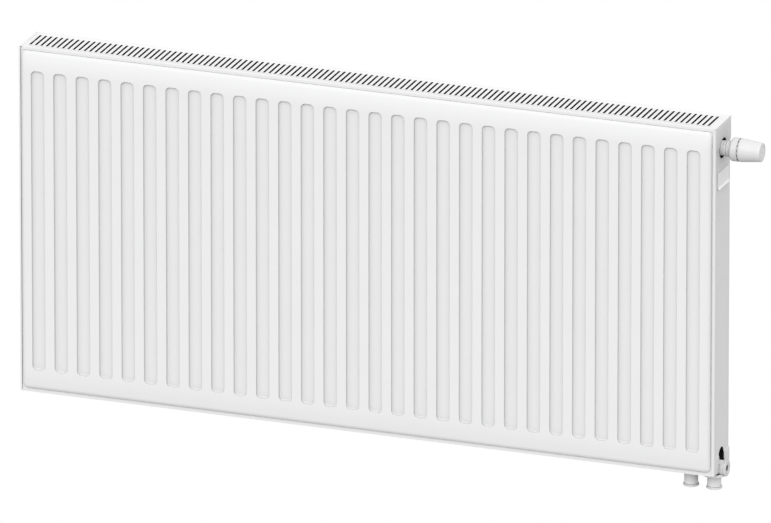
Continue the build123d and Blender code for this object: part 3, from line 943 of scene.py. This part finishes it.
# ---- Grille ----
@dataclass
class TopGrille:
    """The slotted top plate with its two turned-down lips."""

    slot_count: int = 125
    slot_pitch: float = 11.908
    slot_size: Point = (4.8, 63.0)
    slot_flat: float = 0.02
    slot_row_x: float = -1.8
    slot_mid_y: float = -55.5
    edge_roll: float = 0.35
    roll_share: float = 0.6
    sheet: float = 1.0
    lip: float = 6.0
    lip_end_x: float = 753.7
    bend_radius: float = 1.4

    def slot(self, bm: Mesh) -> None:
        """One long slot about the origin, with a slightly rolled edge."""
        grow = self.edge_roll
        size = (self.slot_size[0] + 2 * grow, self.slot_size[1] + 2 * grow)
        face = rounded_face(bm, size, size[0] / 2 - self.slot_flat, 5)
        press(bm, face, [(grow, grow * self.roll_share)], -1)
        bmesh.ops.delete(bm, geom=[face], context="FACES_ONLY")

    def build(self) -> bpy.types.Object:
        """Make the plate and put it in its place."""
        low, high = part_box("top_grille")
        low, high = low / MM, high / MM
        bm = bmesh.new()
        self.slot(bm)
        repeat(bm, self.slot_count, self.slot_pitch)
        move(bm, (self.slot_row_x, self.slot_mid_y, high.z))
        mouths = [e for e in bm.edges if len(e.link_faces) == 1 and e.verts[0].co.z > high.z - NEAR]
        before = set(bm.edges)
        size, middle = (high - low).xy, (low + high) / 2
        corners = rectangle(bm, size, (middle.x, middle.y, high.z))
        bmesh.ops.delete(bm, geom=corners[0].link_faces[:], context="FACES_ONLY")
        fill_between(bm, mouths + [e for e in bm.edges if e not in before])
        crease(bm, (self.lip_end_x, 0, 0), (1, 0, 0))
        for y in (low.y, high.y):
            fold_back(bm, lambda v: self.on_lip(v, y), self.lip, self.bend_radius)
        bmesh.ops.solidify(bm, geom=bm.faces[:], thickness=self.sheet)
        to_metres(bm)
        return place(bm, "grille", "radiator", POWDER_COAT, ["top_grille"])

    def on_lip(self, vert: Vert, y: float) -> bool:
        """Whether a vertex is on the edge at y, where the plate has its lip."""
        return abs(vert.co.y - y) < NEAR and vert.co.x < self.lip_end_x + NEAR


# ---- Side covers ----
@dataclass
class SideCover:
    """An end cover: a web with long soft pressings, turned lips, a round hole and an arch.

    Inside, the inward faces close to the outer face, short of the back, are painted black as painted shade.
    """

    side: Side
    node: str
    name: str
    step: float = 3.0
    sheet: float = 1.2
    lip: float = 4.3
    front_lap: float = 1.0
    vent_top_lip: float = 7.0
    bend_radius: float = 2.8
    pressing_z: Point = (32.0, 703.0)
    front_band: Point = (6.0, 13.0)
    front_drop: float = 1.3
    rear_band: Point = (82.0, 97.0)
    rear_drop: float = 1.1
    fade: float = 5.0
    dimple_across: float = 48.0
    dimple_z: Point = (387.0, 547.0)
    dimple_radius: float = 27.0
    dimple_drop: float = 0.35
    hole_radius: float = 21.5
    arch_radius: float = 16.0
    arch_top: float = 49.0
    arch_reach: float = 60.0
    cutter_length: float = 12.0
    cutter_sides: int = 64
    # How far in from the outer face, and how far short of the back, the painted shade reaches.
    shade_reach: float = 3.6
    shade_stop_back: float = 17.0
    inward: float = -0.3

    def drop(self, across: float, z: float) -> float:
        """How far the web lies below the cover's outermost plane.

        Args:
            across: Distance from the cover's front edge, in millimetres.
            z: Height.

        Returns:
            The depth in millimetres.
        """
        low, high = self.pressing_z
        window = smoothstep(z, low, low + self.fade) * (1 - smoothstep(z, high - self.fade, high))
        bands = 0.0
        for (near, far), drop in ((self.front_band, self.front_drop), (self.rear_band, self.rear_drop)):
            bands += drop * min(max((across - near) / (far - near), 0), 1)
        depth = bands * window
        for centre in self.dimple_z:
            away = math.hypot(across - self.dimple_across, z - centre)
            inner, outer = self.dimple_radius - self.step, self.dimple_radius
            depth += self.dimple_drop * (1 - smoothstep(away, inner, outer))
        return depth

    def build(self) -> bpy.types.Object:
        """Make the cover and put it in its place."""
        low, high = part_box(self.node)
        low, high = low / MM, high / MM
        depth, tall = high.y - low.y, high.z - low.z
        bm = bmesh.new()
        across, up = round(depth / self.step), round(tall / self.step)
        bmesh.ops.create_grid(bm, x_segments=across, y_segments=up, size=0.5)
        bmesh.ops.scale(bm, vec=(depth, tall, 1), verts=bm.verts[:])
        move(bm, (depth / 2, tall / 2, 0))
        for vert in bm.verts:
            vert.co.z = -self.drop(vert.co.x, vert.co.y)
        front_lip = self.lip + (self.front_lap if self.side is Side.VALVE else 0)
        top_lip = self.vent_top_lip if self.side is Side.VENT else self.lip
        for chosen, width in (
            (lambda v: v.co.x < NEAR, front_lip),
            (lambda v: v.co.x > depth - NEAR, self.lip),
            (lambda v: v.co.y > tall - NEAR and v.co.z > -NEAR, top_lip),
        ):
            fold_back(bm, chosen, width, self.bend_radius)
        bmesh.ops.solidify(bm, geom=bm.faces[:], thickness=self.sheet)
        # The drawing's x runs from the front to the wall, y runs up and z points away from the casing.
        away = self.side.value
        outer = high.x if away > 0 else low.x
        upright = Matrix(((0, 0, away), (1, 0, 0), (0, 1, 0)))
        bmesh.ops.transform(bm, matrix=upright.to_4x4(), verts=bm.verts[:])
        if upright.determinant() < 0:
            bmesh.ops.reverse_faces(bm, faces=bm.faces[:])
        move(bm, (outer, low.y, low.z))
        bm = carve(bm, [self.hole_cutter(outer), self.arch_cutter(outer)])
        bm.normal_update()
        # Painted shade: inward faces within a few millimetres of the outer face, away from the back, take
        # the black finish.
        for face in bm.faces:
            middle = face.calc_center_median()
            inset = (outer - middle.x) * away
            in_painted_shade = inset < self.shade_reach and middle.y < high.y - self.shade_stop_back
            if face.normal.x * away < self.inward and in_painted_shade:
                face.material_index = 1
        to_metres(bm)
        return place(bm, self.name, "radiator", [POWDER_COAT, BLACK_PAINTED_SHADE], [self.node], sharp=35)

    def hole_cutter(self, outer: float) -> Mesh:
        """A plug through the web at the valve's height."""
        bm = bmesh.new()
        middle = (outer, PIPE_Y / MM, VALVE_Z / MM)
        bar(bm, self.cutter_sides, self.hole_radius, self.cutter_length, middle)
        return bm

    def arch_cutter(self, outer: float) -> Mesh:
        """A long plug with a round top, through the web's lower edge."""
        bm = bmesh.new()
        made = bar(bm, self.cutter_sides, self.arch_radius, self.cutter_length, (0, 0, 0))
        move(bm, (0, 0, -self.arch_reach), [v for v in made if v.co.z < NEAR])
        move(bm, (outer, PIPE_Y / MM, self.arch_top - self.arch_radius))
        return bm


@dataclass
class SideBadge:
    """The blank film on the valve-end cover, with one raised bar, whiter than the film as painted highlight.
    """

    corner: float = 3.0
    border: float = 0.1
    edge: float = 0.05
    film_share: float = 0.8
    bar: Point = (64.0, 5.5)
    bar_corner: float = 1.5
    bar_low: float = 1.5
    bar_lean: float = 2.4

    def build(self) -> bpy.types.Object:
        """Make the film and put it in its place."""
        low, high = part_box("side_badge")
        low, high = low / MM, high / MM
        bm = bmesh.new()
        thick = (high.x - low.x) * self.film_share
        film = rounded_face(bm, (high.y - low.y, high.z - low.z), self.corner)
        press(bm, film, [(self.border, 0.0), (self.edge, thick)], 1)
        first = set(bm.faces)
        bar_face = rounded_face(bm, self.bar, self.bar_corner)
        press(bm, bar_face, [(self.edge, self.edge)], 1)
        for vert in bar_face.verts:
            vert.co.z += self.bar_lean * (0.5 - vert.co.y / self.bar[1])
        fresh = [f for f in bm.faces if f not in first]
        drop = (high.z - low.z - self.bar[1]) / 2 - self.bar_low
        move(bm, (0, -drop, thick), list({v for f in fresh for v in f.verts}))
        # The bar takes the whiter painted-highlight finish.
        for face in fresh:
            face.material_index = 1
        upright = Matrix(((0, 0, 1), (1, 0, 0), (0, 1, 0)))
        bmesh.ops.transform(bm, matrix=upright.to_4x4(), verts=bm.verts[:])
        middle = (low + high) / 2
        move(bm, (low.x, middle.y, middle.z))
        to_metres(bm)
        return place(bm, "badge", "radiator", [BADGE_FILM, BADGE_BAR_HIGHLIGHT], ["side_badge"])


# ---- Thermostatic head ----
@dataclass
class Head:
    """The visible shell of the thermostatic head and the valve's end.

    Outlines hold (end, offset, radius) in millimetres, as span takes them.
    """

    flutes: int = 30
    grip_middle: float = 21.0
    grip_reach: float = 2.0
    knurls: int = 60
    knurl_band: Point = (4.5, 12.5)
    dots: int = 14
    dot_radii: Point = (1.15, 1.05)
    dot_height: float = 1.0
    dot_line: float = 23.0
    knob_outline: Outline = (
        (0, 0.0, 16.6), (0, 0.0, 23.9), (0, 0.6, 24.5), (0, 4.0, 24.3), (0, 38.0, 20.5),
        (0, 44.4, 19.8), (0, 45.5, 19.4), (1, 0.0, 18.6), (1, 0.0, 16.85), (1, -2.0, 16.85),
        (1, -2.0, 15.3), (0, 25.0, 15.3), (0, 25.0, 16.6),
    )
    cap_outline: Outline = (
        (1, -2.0, 0), (1, -2.0, 16.75), (1, -0.1, 16.75), (1, -0.1, 14.4), (1, -0.8, 13.9),
        (1, -0.8, 12.9), (1, -0.2, 12.4), (1, -0.2, 2.6), (1, -1.6, 2.1), (1, -1.6, 0),
    )
    collar_outline: Outline = (
        (0, 0.0, 17.1), (0, -2.5, 17.1), (0, -2.5, 20.8), (0, -1.6, 22.2), (0, -0.3, 23.5),
        (0, 1.1, 24.3), (0, 2.1, 24.5), (0, 13.2, 24.5), (0, 14.0, 23.8), (0, 14.0, 16.5),
        (0, 41.0, 16.5), (0, 41.0, 9.1), (0, 20.0, 9.1), (0, 20.0, 2.7), (0, 8.0, 2.7),
        (0, 8.0, 13.1), (0, 0.0, 13.1),
    )
    scale_outline: Outline = ((0, 0.0, 16.55), (0, 0.0, 22.7), (1, 0.0, 22.7), (1, 0.0, 16.55))
    union_outline: Outline = (
        (0, 0.0, 13.1), (0, 0.0, 16.3), (0, 0.7, 17.0), (0, 3.4, 17.0), (0, 3.8, 16.4),
        (0, 4.6, 16.4), (0, 5.0, 17.0), (1, -0.6, 17.0), (1, 0.0, 16.3), (1, 0.0, 13.1),
    )
    insert_outline: Outline = (
        (0, 0.0, 1.55), (0, 0.0, 10.95), (1, -18.0, 10.95), (1, -18.0, 17.0), (1, -14.0, 17.0),
        (1, -14.0, 13.0), (1, 0.0, 13.0), (1, 0.0, 6.5), (1, -34.0, 6.5), (1, -34.0, 1.55),
    )

    def build(self) -> None:
        """Make every piece of the head."""
        self.knob()
        self.cap()
        self.collar()
        self.scale()
        self.union()
        self.insert()

    def knob(self) -> None:
        """The tapering knob with shallow flutes along its grip."""
        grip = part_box("knob")[0].x + self.grip_middle * MM
        bm = turned("knob", self.knob_outline, 2 * self.flutes)
        knurl(bm, lambda middle: abs(middle.x - grip) < self.grip_reach * MM, 21.0, 0.55, 0.3)
        place(bm, "knob_shell", "knob", ABS_PAINTED_SHADE, ["knob"], sharp=50)

    def cap(self) -> None:
        """The end cap: a shallow dish with a ring and a centre mark."""
        bm = turned("knob_cap", self.cap_outline, soft=0.15)
        place(bm, "knob_cap_disc", "knob", CAP_ABS, ["knob_cap"], sharp=35)

    def collar(self) -> None:
        """The fixed collar behind the knob, chamfered towards the cover and finely knurled."""
        inner, outer = (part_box("head_base")[0].x + x * MM for x in self.knurl_band)
        bm = turned("head_base", self.collar_outline, 2 * self.knurls)
        knurl(bm, lambda middle: inner < middle.x < outer, 23.0, 0.3, 0.3)
        place(bm, "head_collar", "radiator", ABS_PAINTED_SHADE, ["head_base"], sharp=50)

    def scale(self) -> None:
        """The recessed ring between collar and knob, with a row of plain index dots."""
        low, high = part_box("scale_ring")
        bm = turned("scale_ring", self.scale_outline, soft=0.2)
        for i in range(self.dots):
            dot = bmesh.ops.create_cone(
                bm,
                cap_ends=True,
                segments=12,
                radius1=self.dot_radii[0] * MM,
                radius2=self.dot_radii[1] * MM,
                depth=self.dot_height * MM,
            )["verts"]
            move(bm, (0, 0, self.dot_line * MM), dot)
            turn(bm, 360 * i / self.dots, "X", dot)
            move(bm, ((low.x + high.x) / 2, PIPE_Y, VALVE_Z), dot)
            for face in {f for v in dot for f in v.link_faces}:
                face.material_index = 1
        place(bm, "index_ring", "radiator", [SCALE_ABS, SCALE_INK], ["scale_ring"])

    def union(self) -> None:
        """The union nut: a band with one groove rolled round it."""
        bm = turned("head_union", self.union_outline, soft=0.12)
        place(bm, "union_nut", "radiator", UNION_COAT, ["head_union"])

    def insert(self) -> None:
        """The valve insert: a round ring against the hub and a plain neck."""
        bm = turned("valve_insert", self.insert_outline, soft=0.3)
        place(bm, "valve_cartridge", "radiator", UNION_COAT, ["valve_insert"])


# ---- Lower connections ----
@dataclass
class Connections:
    """The two pipe sockets, their end rings and the collar on the return side."""

    labels: tuple[str, str] = ("supply", "return")
    thread_pitch: float = 1.814
    thread_turns: int = 8
    thread_start: float = 0.8
    thread_radii: Point = (10.3, 9.35)
    socket_outline: Outline = (
        (0, 0.0, 10.4), (0, 0.0, 14.1), (0, 0.4, 14.5), (1, 0.0, 14.5), (1, 0.0, 7.0),
        (0, 16.5, 7.0), (0, 16.5, 9.3),
    )
    ring_outline: Outline = (
        (0, 0.0, 10.9), (0, 0.0, 16.0), (0, 0.7, 16.7), (0, 2.2, 16.7), (0, 2.7, 16.2),
        (1, -0.5, 16.2), (1, 0.0, 15.7), (1, 0.0, 10.6), (0, 0.3, 10.6),
    )
    collar_outline: Outline = (
        (0, 0.0, 14.6), (0, 0.0, 22.6), (0, 0.6, 24.0), (0, 1.6, 24.5), (1, -1.2, 24.5),
        (1, -0.3, 23.9), (1, 0.0, 22.8), (1, 0.0, 19.5), (1, -1.0, 18.5), (1, -1.0, 14.6),
    )

    def build(self) -> None:
        """Make every piece of the lower connections."""
        for label in self.labels:
            self.socket(label, f"{label}_socket")
            self.ring(label, f"{label}_end_ring")
        self.collar()

    def upright(self, node: str, shape: Outline, soft: float = 0.0, more: Sequence[Point] = ()) -> Mesh:
        """A turned shape about a node's vertical middle line.

        Args:
            node: The CAD node.
            shape: The outline from the node's foot to its top, as span takes it.
            soft: Rounding of its sharp edges in millimetres.
            more: Further points of the outline, (height above the foot, radius).

        Returns:
            The mesh.
        """
        low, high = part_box(node)
        points = span(shape, low.z, high.z) + [(low.z / MM + z, radius) for z, radius in more]
        bm = spun(points, centre=(0.0, 0.0))
        if soft:
            soften(bm, soft * MM, least=50.0)
        stand_up(bm, ((low.x + high.x) / 2, (low.y + high.y) / 2, 0.0))
        return bm

    def socket(self, label: str, node: str) -> None:
        """A sleeve with a thread cut in its mouth."""
        thread: list[Point] = []
        for i in range(self.thread_turns):
            foot = self.thread_start + i * self.thread_pitch
            thread += zip((foot, foot + self.thread_pitch / 2), self.thread_radii)
        bm = self.upright(node, self.socket_outline, more=thread[::-1])
        place(bm, f"{label}_sleeve", "radiator", FITTING_COAT, [node], sharp=30)

    def ring(self, label: str, node: str) -> None:
        """A protective ring with a bead round its lower edge."""
        bm = self.upright(node, self.ring_outline, 0.15)
        place(bm, f"{label}_mouth_ring", "radiator", PE_RING, [node])

    def collar(self) -> None:
        """The dished collar that covers the joint above the return socket."""
        bm = self.upright("return_collar", self.collar_outline, 0.2)
        place(bm, "joint_collar", "radiator", FITTING_COAT, ["return_collar"])


# ---- Plugs and lugs ----
@dataclass
class Plugs:
    """The blank plugs, the air vent's plug, its spout and its screw."""

    socket_flats: float = 12.0
    socket_depth: float = 8.0
    # How deep past the mouth, and how far out as a share of the flats, the socket's painted shade reaches.
    socket_shade_start: float = 0.9
    socket_shade_reach: float = 0.59
    nut_flats: float = 27.0
    nut_ends: Point = (8.0, 14.0)
    spout_hidden: float = 7.0
    key_radius: float = 2.8
    key_length: float = 3.0
    blank_outline: Outline = (
        (0, 0.0, 0), (0, 0.0, 10.9), (1, -2.9, 10.9), (1, -2.9, 17.5), (1, -0.9, 17.5),
        (1, -0.3, 17.1), (1, 0.0, 16.4), (1, 0.0, 10.6), (1, -0.7, 9.9), (1, -0.7, 0),
    )
    neck_outline: Outline = ((0, 0.0, 3.1), (0, 0.0, 6.5), (0, 0.5, 7.0), (0, 9.0, 7.0), (0, 9.0, 3.1))
    shank_outline: Outline = ((0, 13.0, 3.1), (0, 13.0, 10.9), (1, 0.0, 10.9), (1, 0.0, 3.1))
    spout_outline: Outline = (
        (0, 0.0, 7.1), (0, 0.0, 9.4), (0, 0.6, 10.0), (1, -0.6, 10.0), (1, 0.0, 9.4), (1, 0.0, 7.1),
    )
    nozzle: tuple[Point, ...] = ((0, 1.2), (0, 2.4), (6.5, 2.4), (6.5, 1.2))
    screw_outline: Outline = ((0, 2.5, 0), (0, 2.5, 3.0), (1, 0.0, 3.0), (1, 0.0, 0))

    def build(self) -> None:
        """Make every plug."""
        self.blank("drain_plug", 1)
        self.blank("bottom_left_plug", -1)
        self.vent()
        self.spout()
        self.screw()

    def blank(self, node: str, out: int) -> None:
        """A ring-headed plug with a six-sided socket whose deep faces take a darker metal as painted shade.

        Args:
            node: The CAD node that it replaces.
            out: The sign of X that its head faces.
        """
        low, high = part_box(node)
        foot, face = (low.x, high.x) if out > 0 else (high.x, low.x)
        centre = (PIPE_Y, (low.z + high.z) / 2)
        tool = bmesh.new()
        corner = self.socket_flats / math.sqrt(3) * MM
        bar(tool, 6, corner, 2 * self.socket_depth * MM, (face, *centre))
        bm = carve(spun(span(self.blank_outline, foot, face, out), centre=centre), [tool])
        reach = self.socket_flats * self.socket_shade_reach * MM
        # Painted shade: faces deep in the socket and near its middle take the darker metal.
        for cut in bm.faces:
            middle = cut.calc_center_median()
            deep = (face - middle.x) * out > self.socket_shade_start * MM
            if deep and (middle.yz - Vector(centre)).length < reach:
                cut.material_index = 1
        place(bm, f"{node}_head", "radiator", [PLUG_COAT, SOCKET_PAINTED_SHADE], [node], sharp=35)

    def vent(self) -> None:
        """The vent's nut with its rounded corners, its neck and its shank."""
        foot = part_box("vent_plug")[0].x
        start, end = (foot + x * MM for x in self.nut_ends)
        bm = bmesh.new()
        bar(bm, 6, self.nut_flats * MM / math.sqrt(3), end - start, ((start + end) / 2, PIPE_Y, VALVE_Z))
        soften(bm, 0.8 * MM)
        for shape in (self.neck_outline, self.shank_outline):
            merge(bm, turned("vent_plug", shape))
        place(bm, "vent_nut", "radiator", PLUG_COAT, ["vent_plug"], sharp=35)

    def spout(self) -> None:
        """The knurled ring that turns, with its nozzle."""
        low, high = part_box("vent_spout")
        bm = turned("vent_spout", self.spout_outline, 48)
        knurl(bm, lambda middle: middle.z > low.z + self.spout_hidden * MM, 9.8, 0.2, 0.25)
        nozzle = spun(self.nozzle, 24, (0.0, 0.0))
        stand_up(nozzle, ((low.x + high.x) / 2, PIPE_Y, low.z))
        merge(bm, nozzle)
        place(bm, "spout_ring", "vent_spout", ABS_PAINTED_SHADE, ["vent_spout"], sharp=35)

    def screw(self) -> None:
        """The vent's screw with its square key end."""
        bm = turned("vent_screw", self.screw_outline, 32)
        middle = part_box("vent_screw")[0].x + self.key_length / 2 * MM
        bar(bm, 4, self.key_radius * MM, self.key_length * MM, (middle, PIPE_Y, VALVE_Z))
        soften(bm, 0.25 * MM, 2)
        place(bm, "vent_key_screw", "vent_screw", TURNED_BRASS, ["vent_screw"], sharp=35)


@dataclass
class Lugs:
    """The four hanging straps on the back, bent from strip."""

    names: tuple[str, ...] = ("upper_left_lug", "upper_right_lug", "lower_left_lug", "lower_right_lug")
    strip: float = 2.0
    foot: float = 20.0
    corner: float = 4.0
    fold_radius: float = 1.8

    def build(self) -> None:
        """Make every lug."""
        for name in self.names:
            self.lug(name)

    def lug(self, node: str) -> None:
        """A strap: a foot on the panel, a shelf and a hanging tongue with rounded corners."""
        low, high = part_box(node)
        width, tall = (high.x - low.x) / MM, (high.z - low.z) / MM
        shelf = (high.y - low.y) / MM - self.strip
        bm = bmesh.new()
        rectangle(bm, (width, self.foot), (0, tall - self.foot / 2, 0))
        for step in ((0, 0, shelf), (0, self.foot - tall, 0)):
            extrude(bm, [min(open_edges(bm), key=self.lowest)], step)
        tips = [v for v in bm.verts if v.co.y < NEAR or v.co.y > tall - NEAR]
        round_off(bm, tips, "VERTICES", self.corner, 5)
        folds = [e for e in bm.edges if len(e.link_faces) == 2]
        round_off(bm, folds, "EDGES", self.fold_radius, 4)
        bmesh.ops.recalc_face_normals(bm, faces=bm.faces[:])
        bmesh.ops.solidify(bm, geom=bm.faces[:], thickness=self.strip)
        turn(bm, 90, "X")
        turn(bm, 180, "Z")
        to_metres(bm)
        reach = max(v.co.y for v in bm.verts)
        move(bm, ((low.x + high.x) / 2, high.y - reach, low.z))
        place(bm, f"{node}_strap", "radiator", POWDER_COAT, [node], sharp=35)

    def lowest(self, edge: Edge) -> Point:
        """Sort key that puts the lowest edge first, and of two the one that stands out most."""
        first, second = (v.co for v in edge.verts)
        return first.y + second.y, -first.z - second.z


# ---- Parts that keep their CAD shape ----
@dataclass
class Dressed:
    """The CAD shapes that keep their form: rounded ones are merged and smoothed, all get a finish."""

    smoothed: tuple[str, ...] = (
        "valve_body",
        "return_manifold",
        "top_left_tee",
        "bottom_left_tee",
        "supply_block",
        "supply_riser",
        "gland_nut",
        "valve_disc",
        "wax_sensor",
        "push_rod",
        "valve_pin",
        "valve_spring",
        "head_spring",
        "drain_plug_seal",
        "bottom_left_plug_seal",
        "insert_seal",
    )
    springs: tuple[str, ...] = ("valve_spring", "head_spring")
    stroke_room: float = 1.4
    merge_gap: float = 2e-6
    # The tee seen through the slots, finished black as painted shade.
    shade_painted_tee: str = "top_left_tee"

    def squeeze(self, bm: Mesh, node: str) -> None:
        """Close a spring up towards its inner seat, so that the stroke has room at its outer end."""
        low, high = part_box(node)
        share = 1 - self.stroke_room * MM / (high.x - low.x)
        for vert in bm.verts:
            vert.co.x = low.x + (vert.co.x - low.x) * share

    def build(self, finishes: dict[str, Finish]) -> None:
        """Smooth the listed nodes and dress the rest.

        Args:
            finishes: The finish of each slot of the record.
        """
        slots = {s["node"]: s["material_slot"] for s in frame["record"]["subparts"]}
        bodies = frame["record"]["behaviour"]["bodies"]
        homes = {node: body for body, nodes in bodies.items() for node in nodes}
        for node in self.smoothed:
            bm = bmesh.new()
            bm.from_mesh(frame["nodes"][node].data)
            bmesh.ops.remove_doubles(bm, verts=bm.verts[:], dist=self.merge_gap)
            if node in self.springs:
                self.squeeze(bm, node)
            # The tee behind the slots takes the black painted-shade finish instead of its own white.
            slot = "inner_steel" if node == self.shade_painted_tee else slots[node]
            place(bm, f"{node}_smooth", homes[node], finishes[slot], [node], sharp=35)
        for node, shape in frame["nodes"].items():
            material = finishes[slots[node]].build()
            if not shape.material_slots:
                shape.data.materials.append(material)
            for holder in shape.material_slots:
                holder.material = material


def main() -> None:
    """Build the studio and every sub-assembly in order."""
    logging.basicConfig(level=logging.INFO, format="%(name)s %(message)s")
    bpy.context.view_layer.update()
    Studio().build()
    PressedPanel(Facing.ROOM, "front_panel_outer_sheet", "front_skin").build()
    PressedPanel(Facing.WALL, "rear_panel_outer_sheet", "rear_skin").build()
    TopGrille().build()
    SideCover(Side.VENT, "left_side_cover", "vent_end_cover").build()
    SideCover(Side.VALVE, "right_side_cover", "valve_end_cover").build()
    SideBadge().build()
    Head().build()
    Connections().build()
    Plugs().build()
    Lugs().build()
    Dressed().build(SLOT_FINISH)


if __name__ == "__main__":
    main()
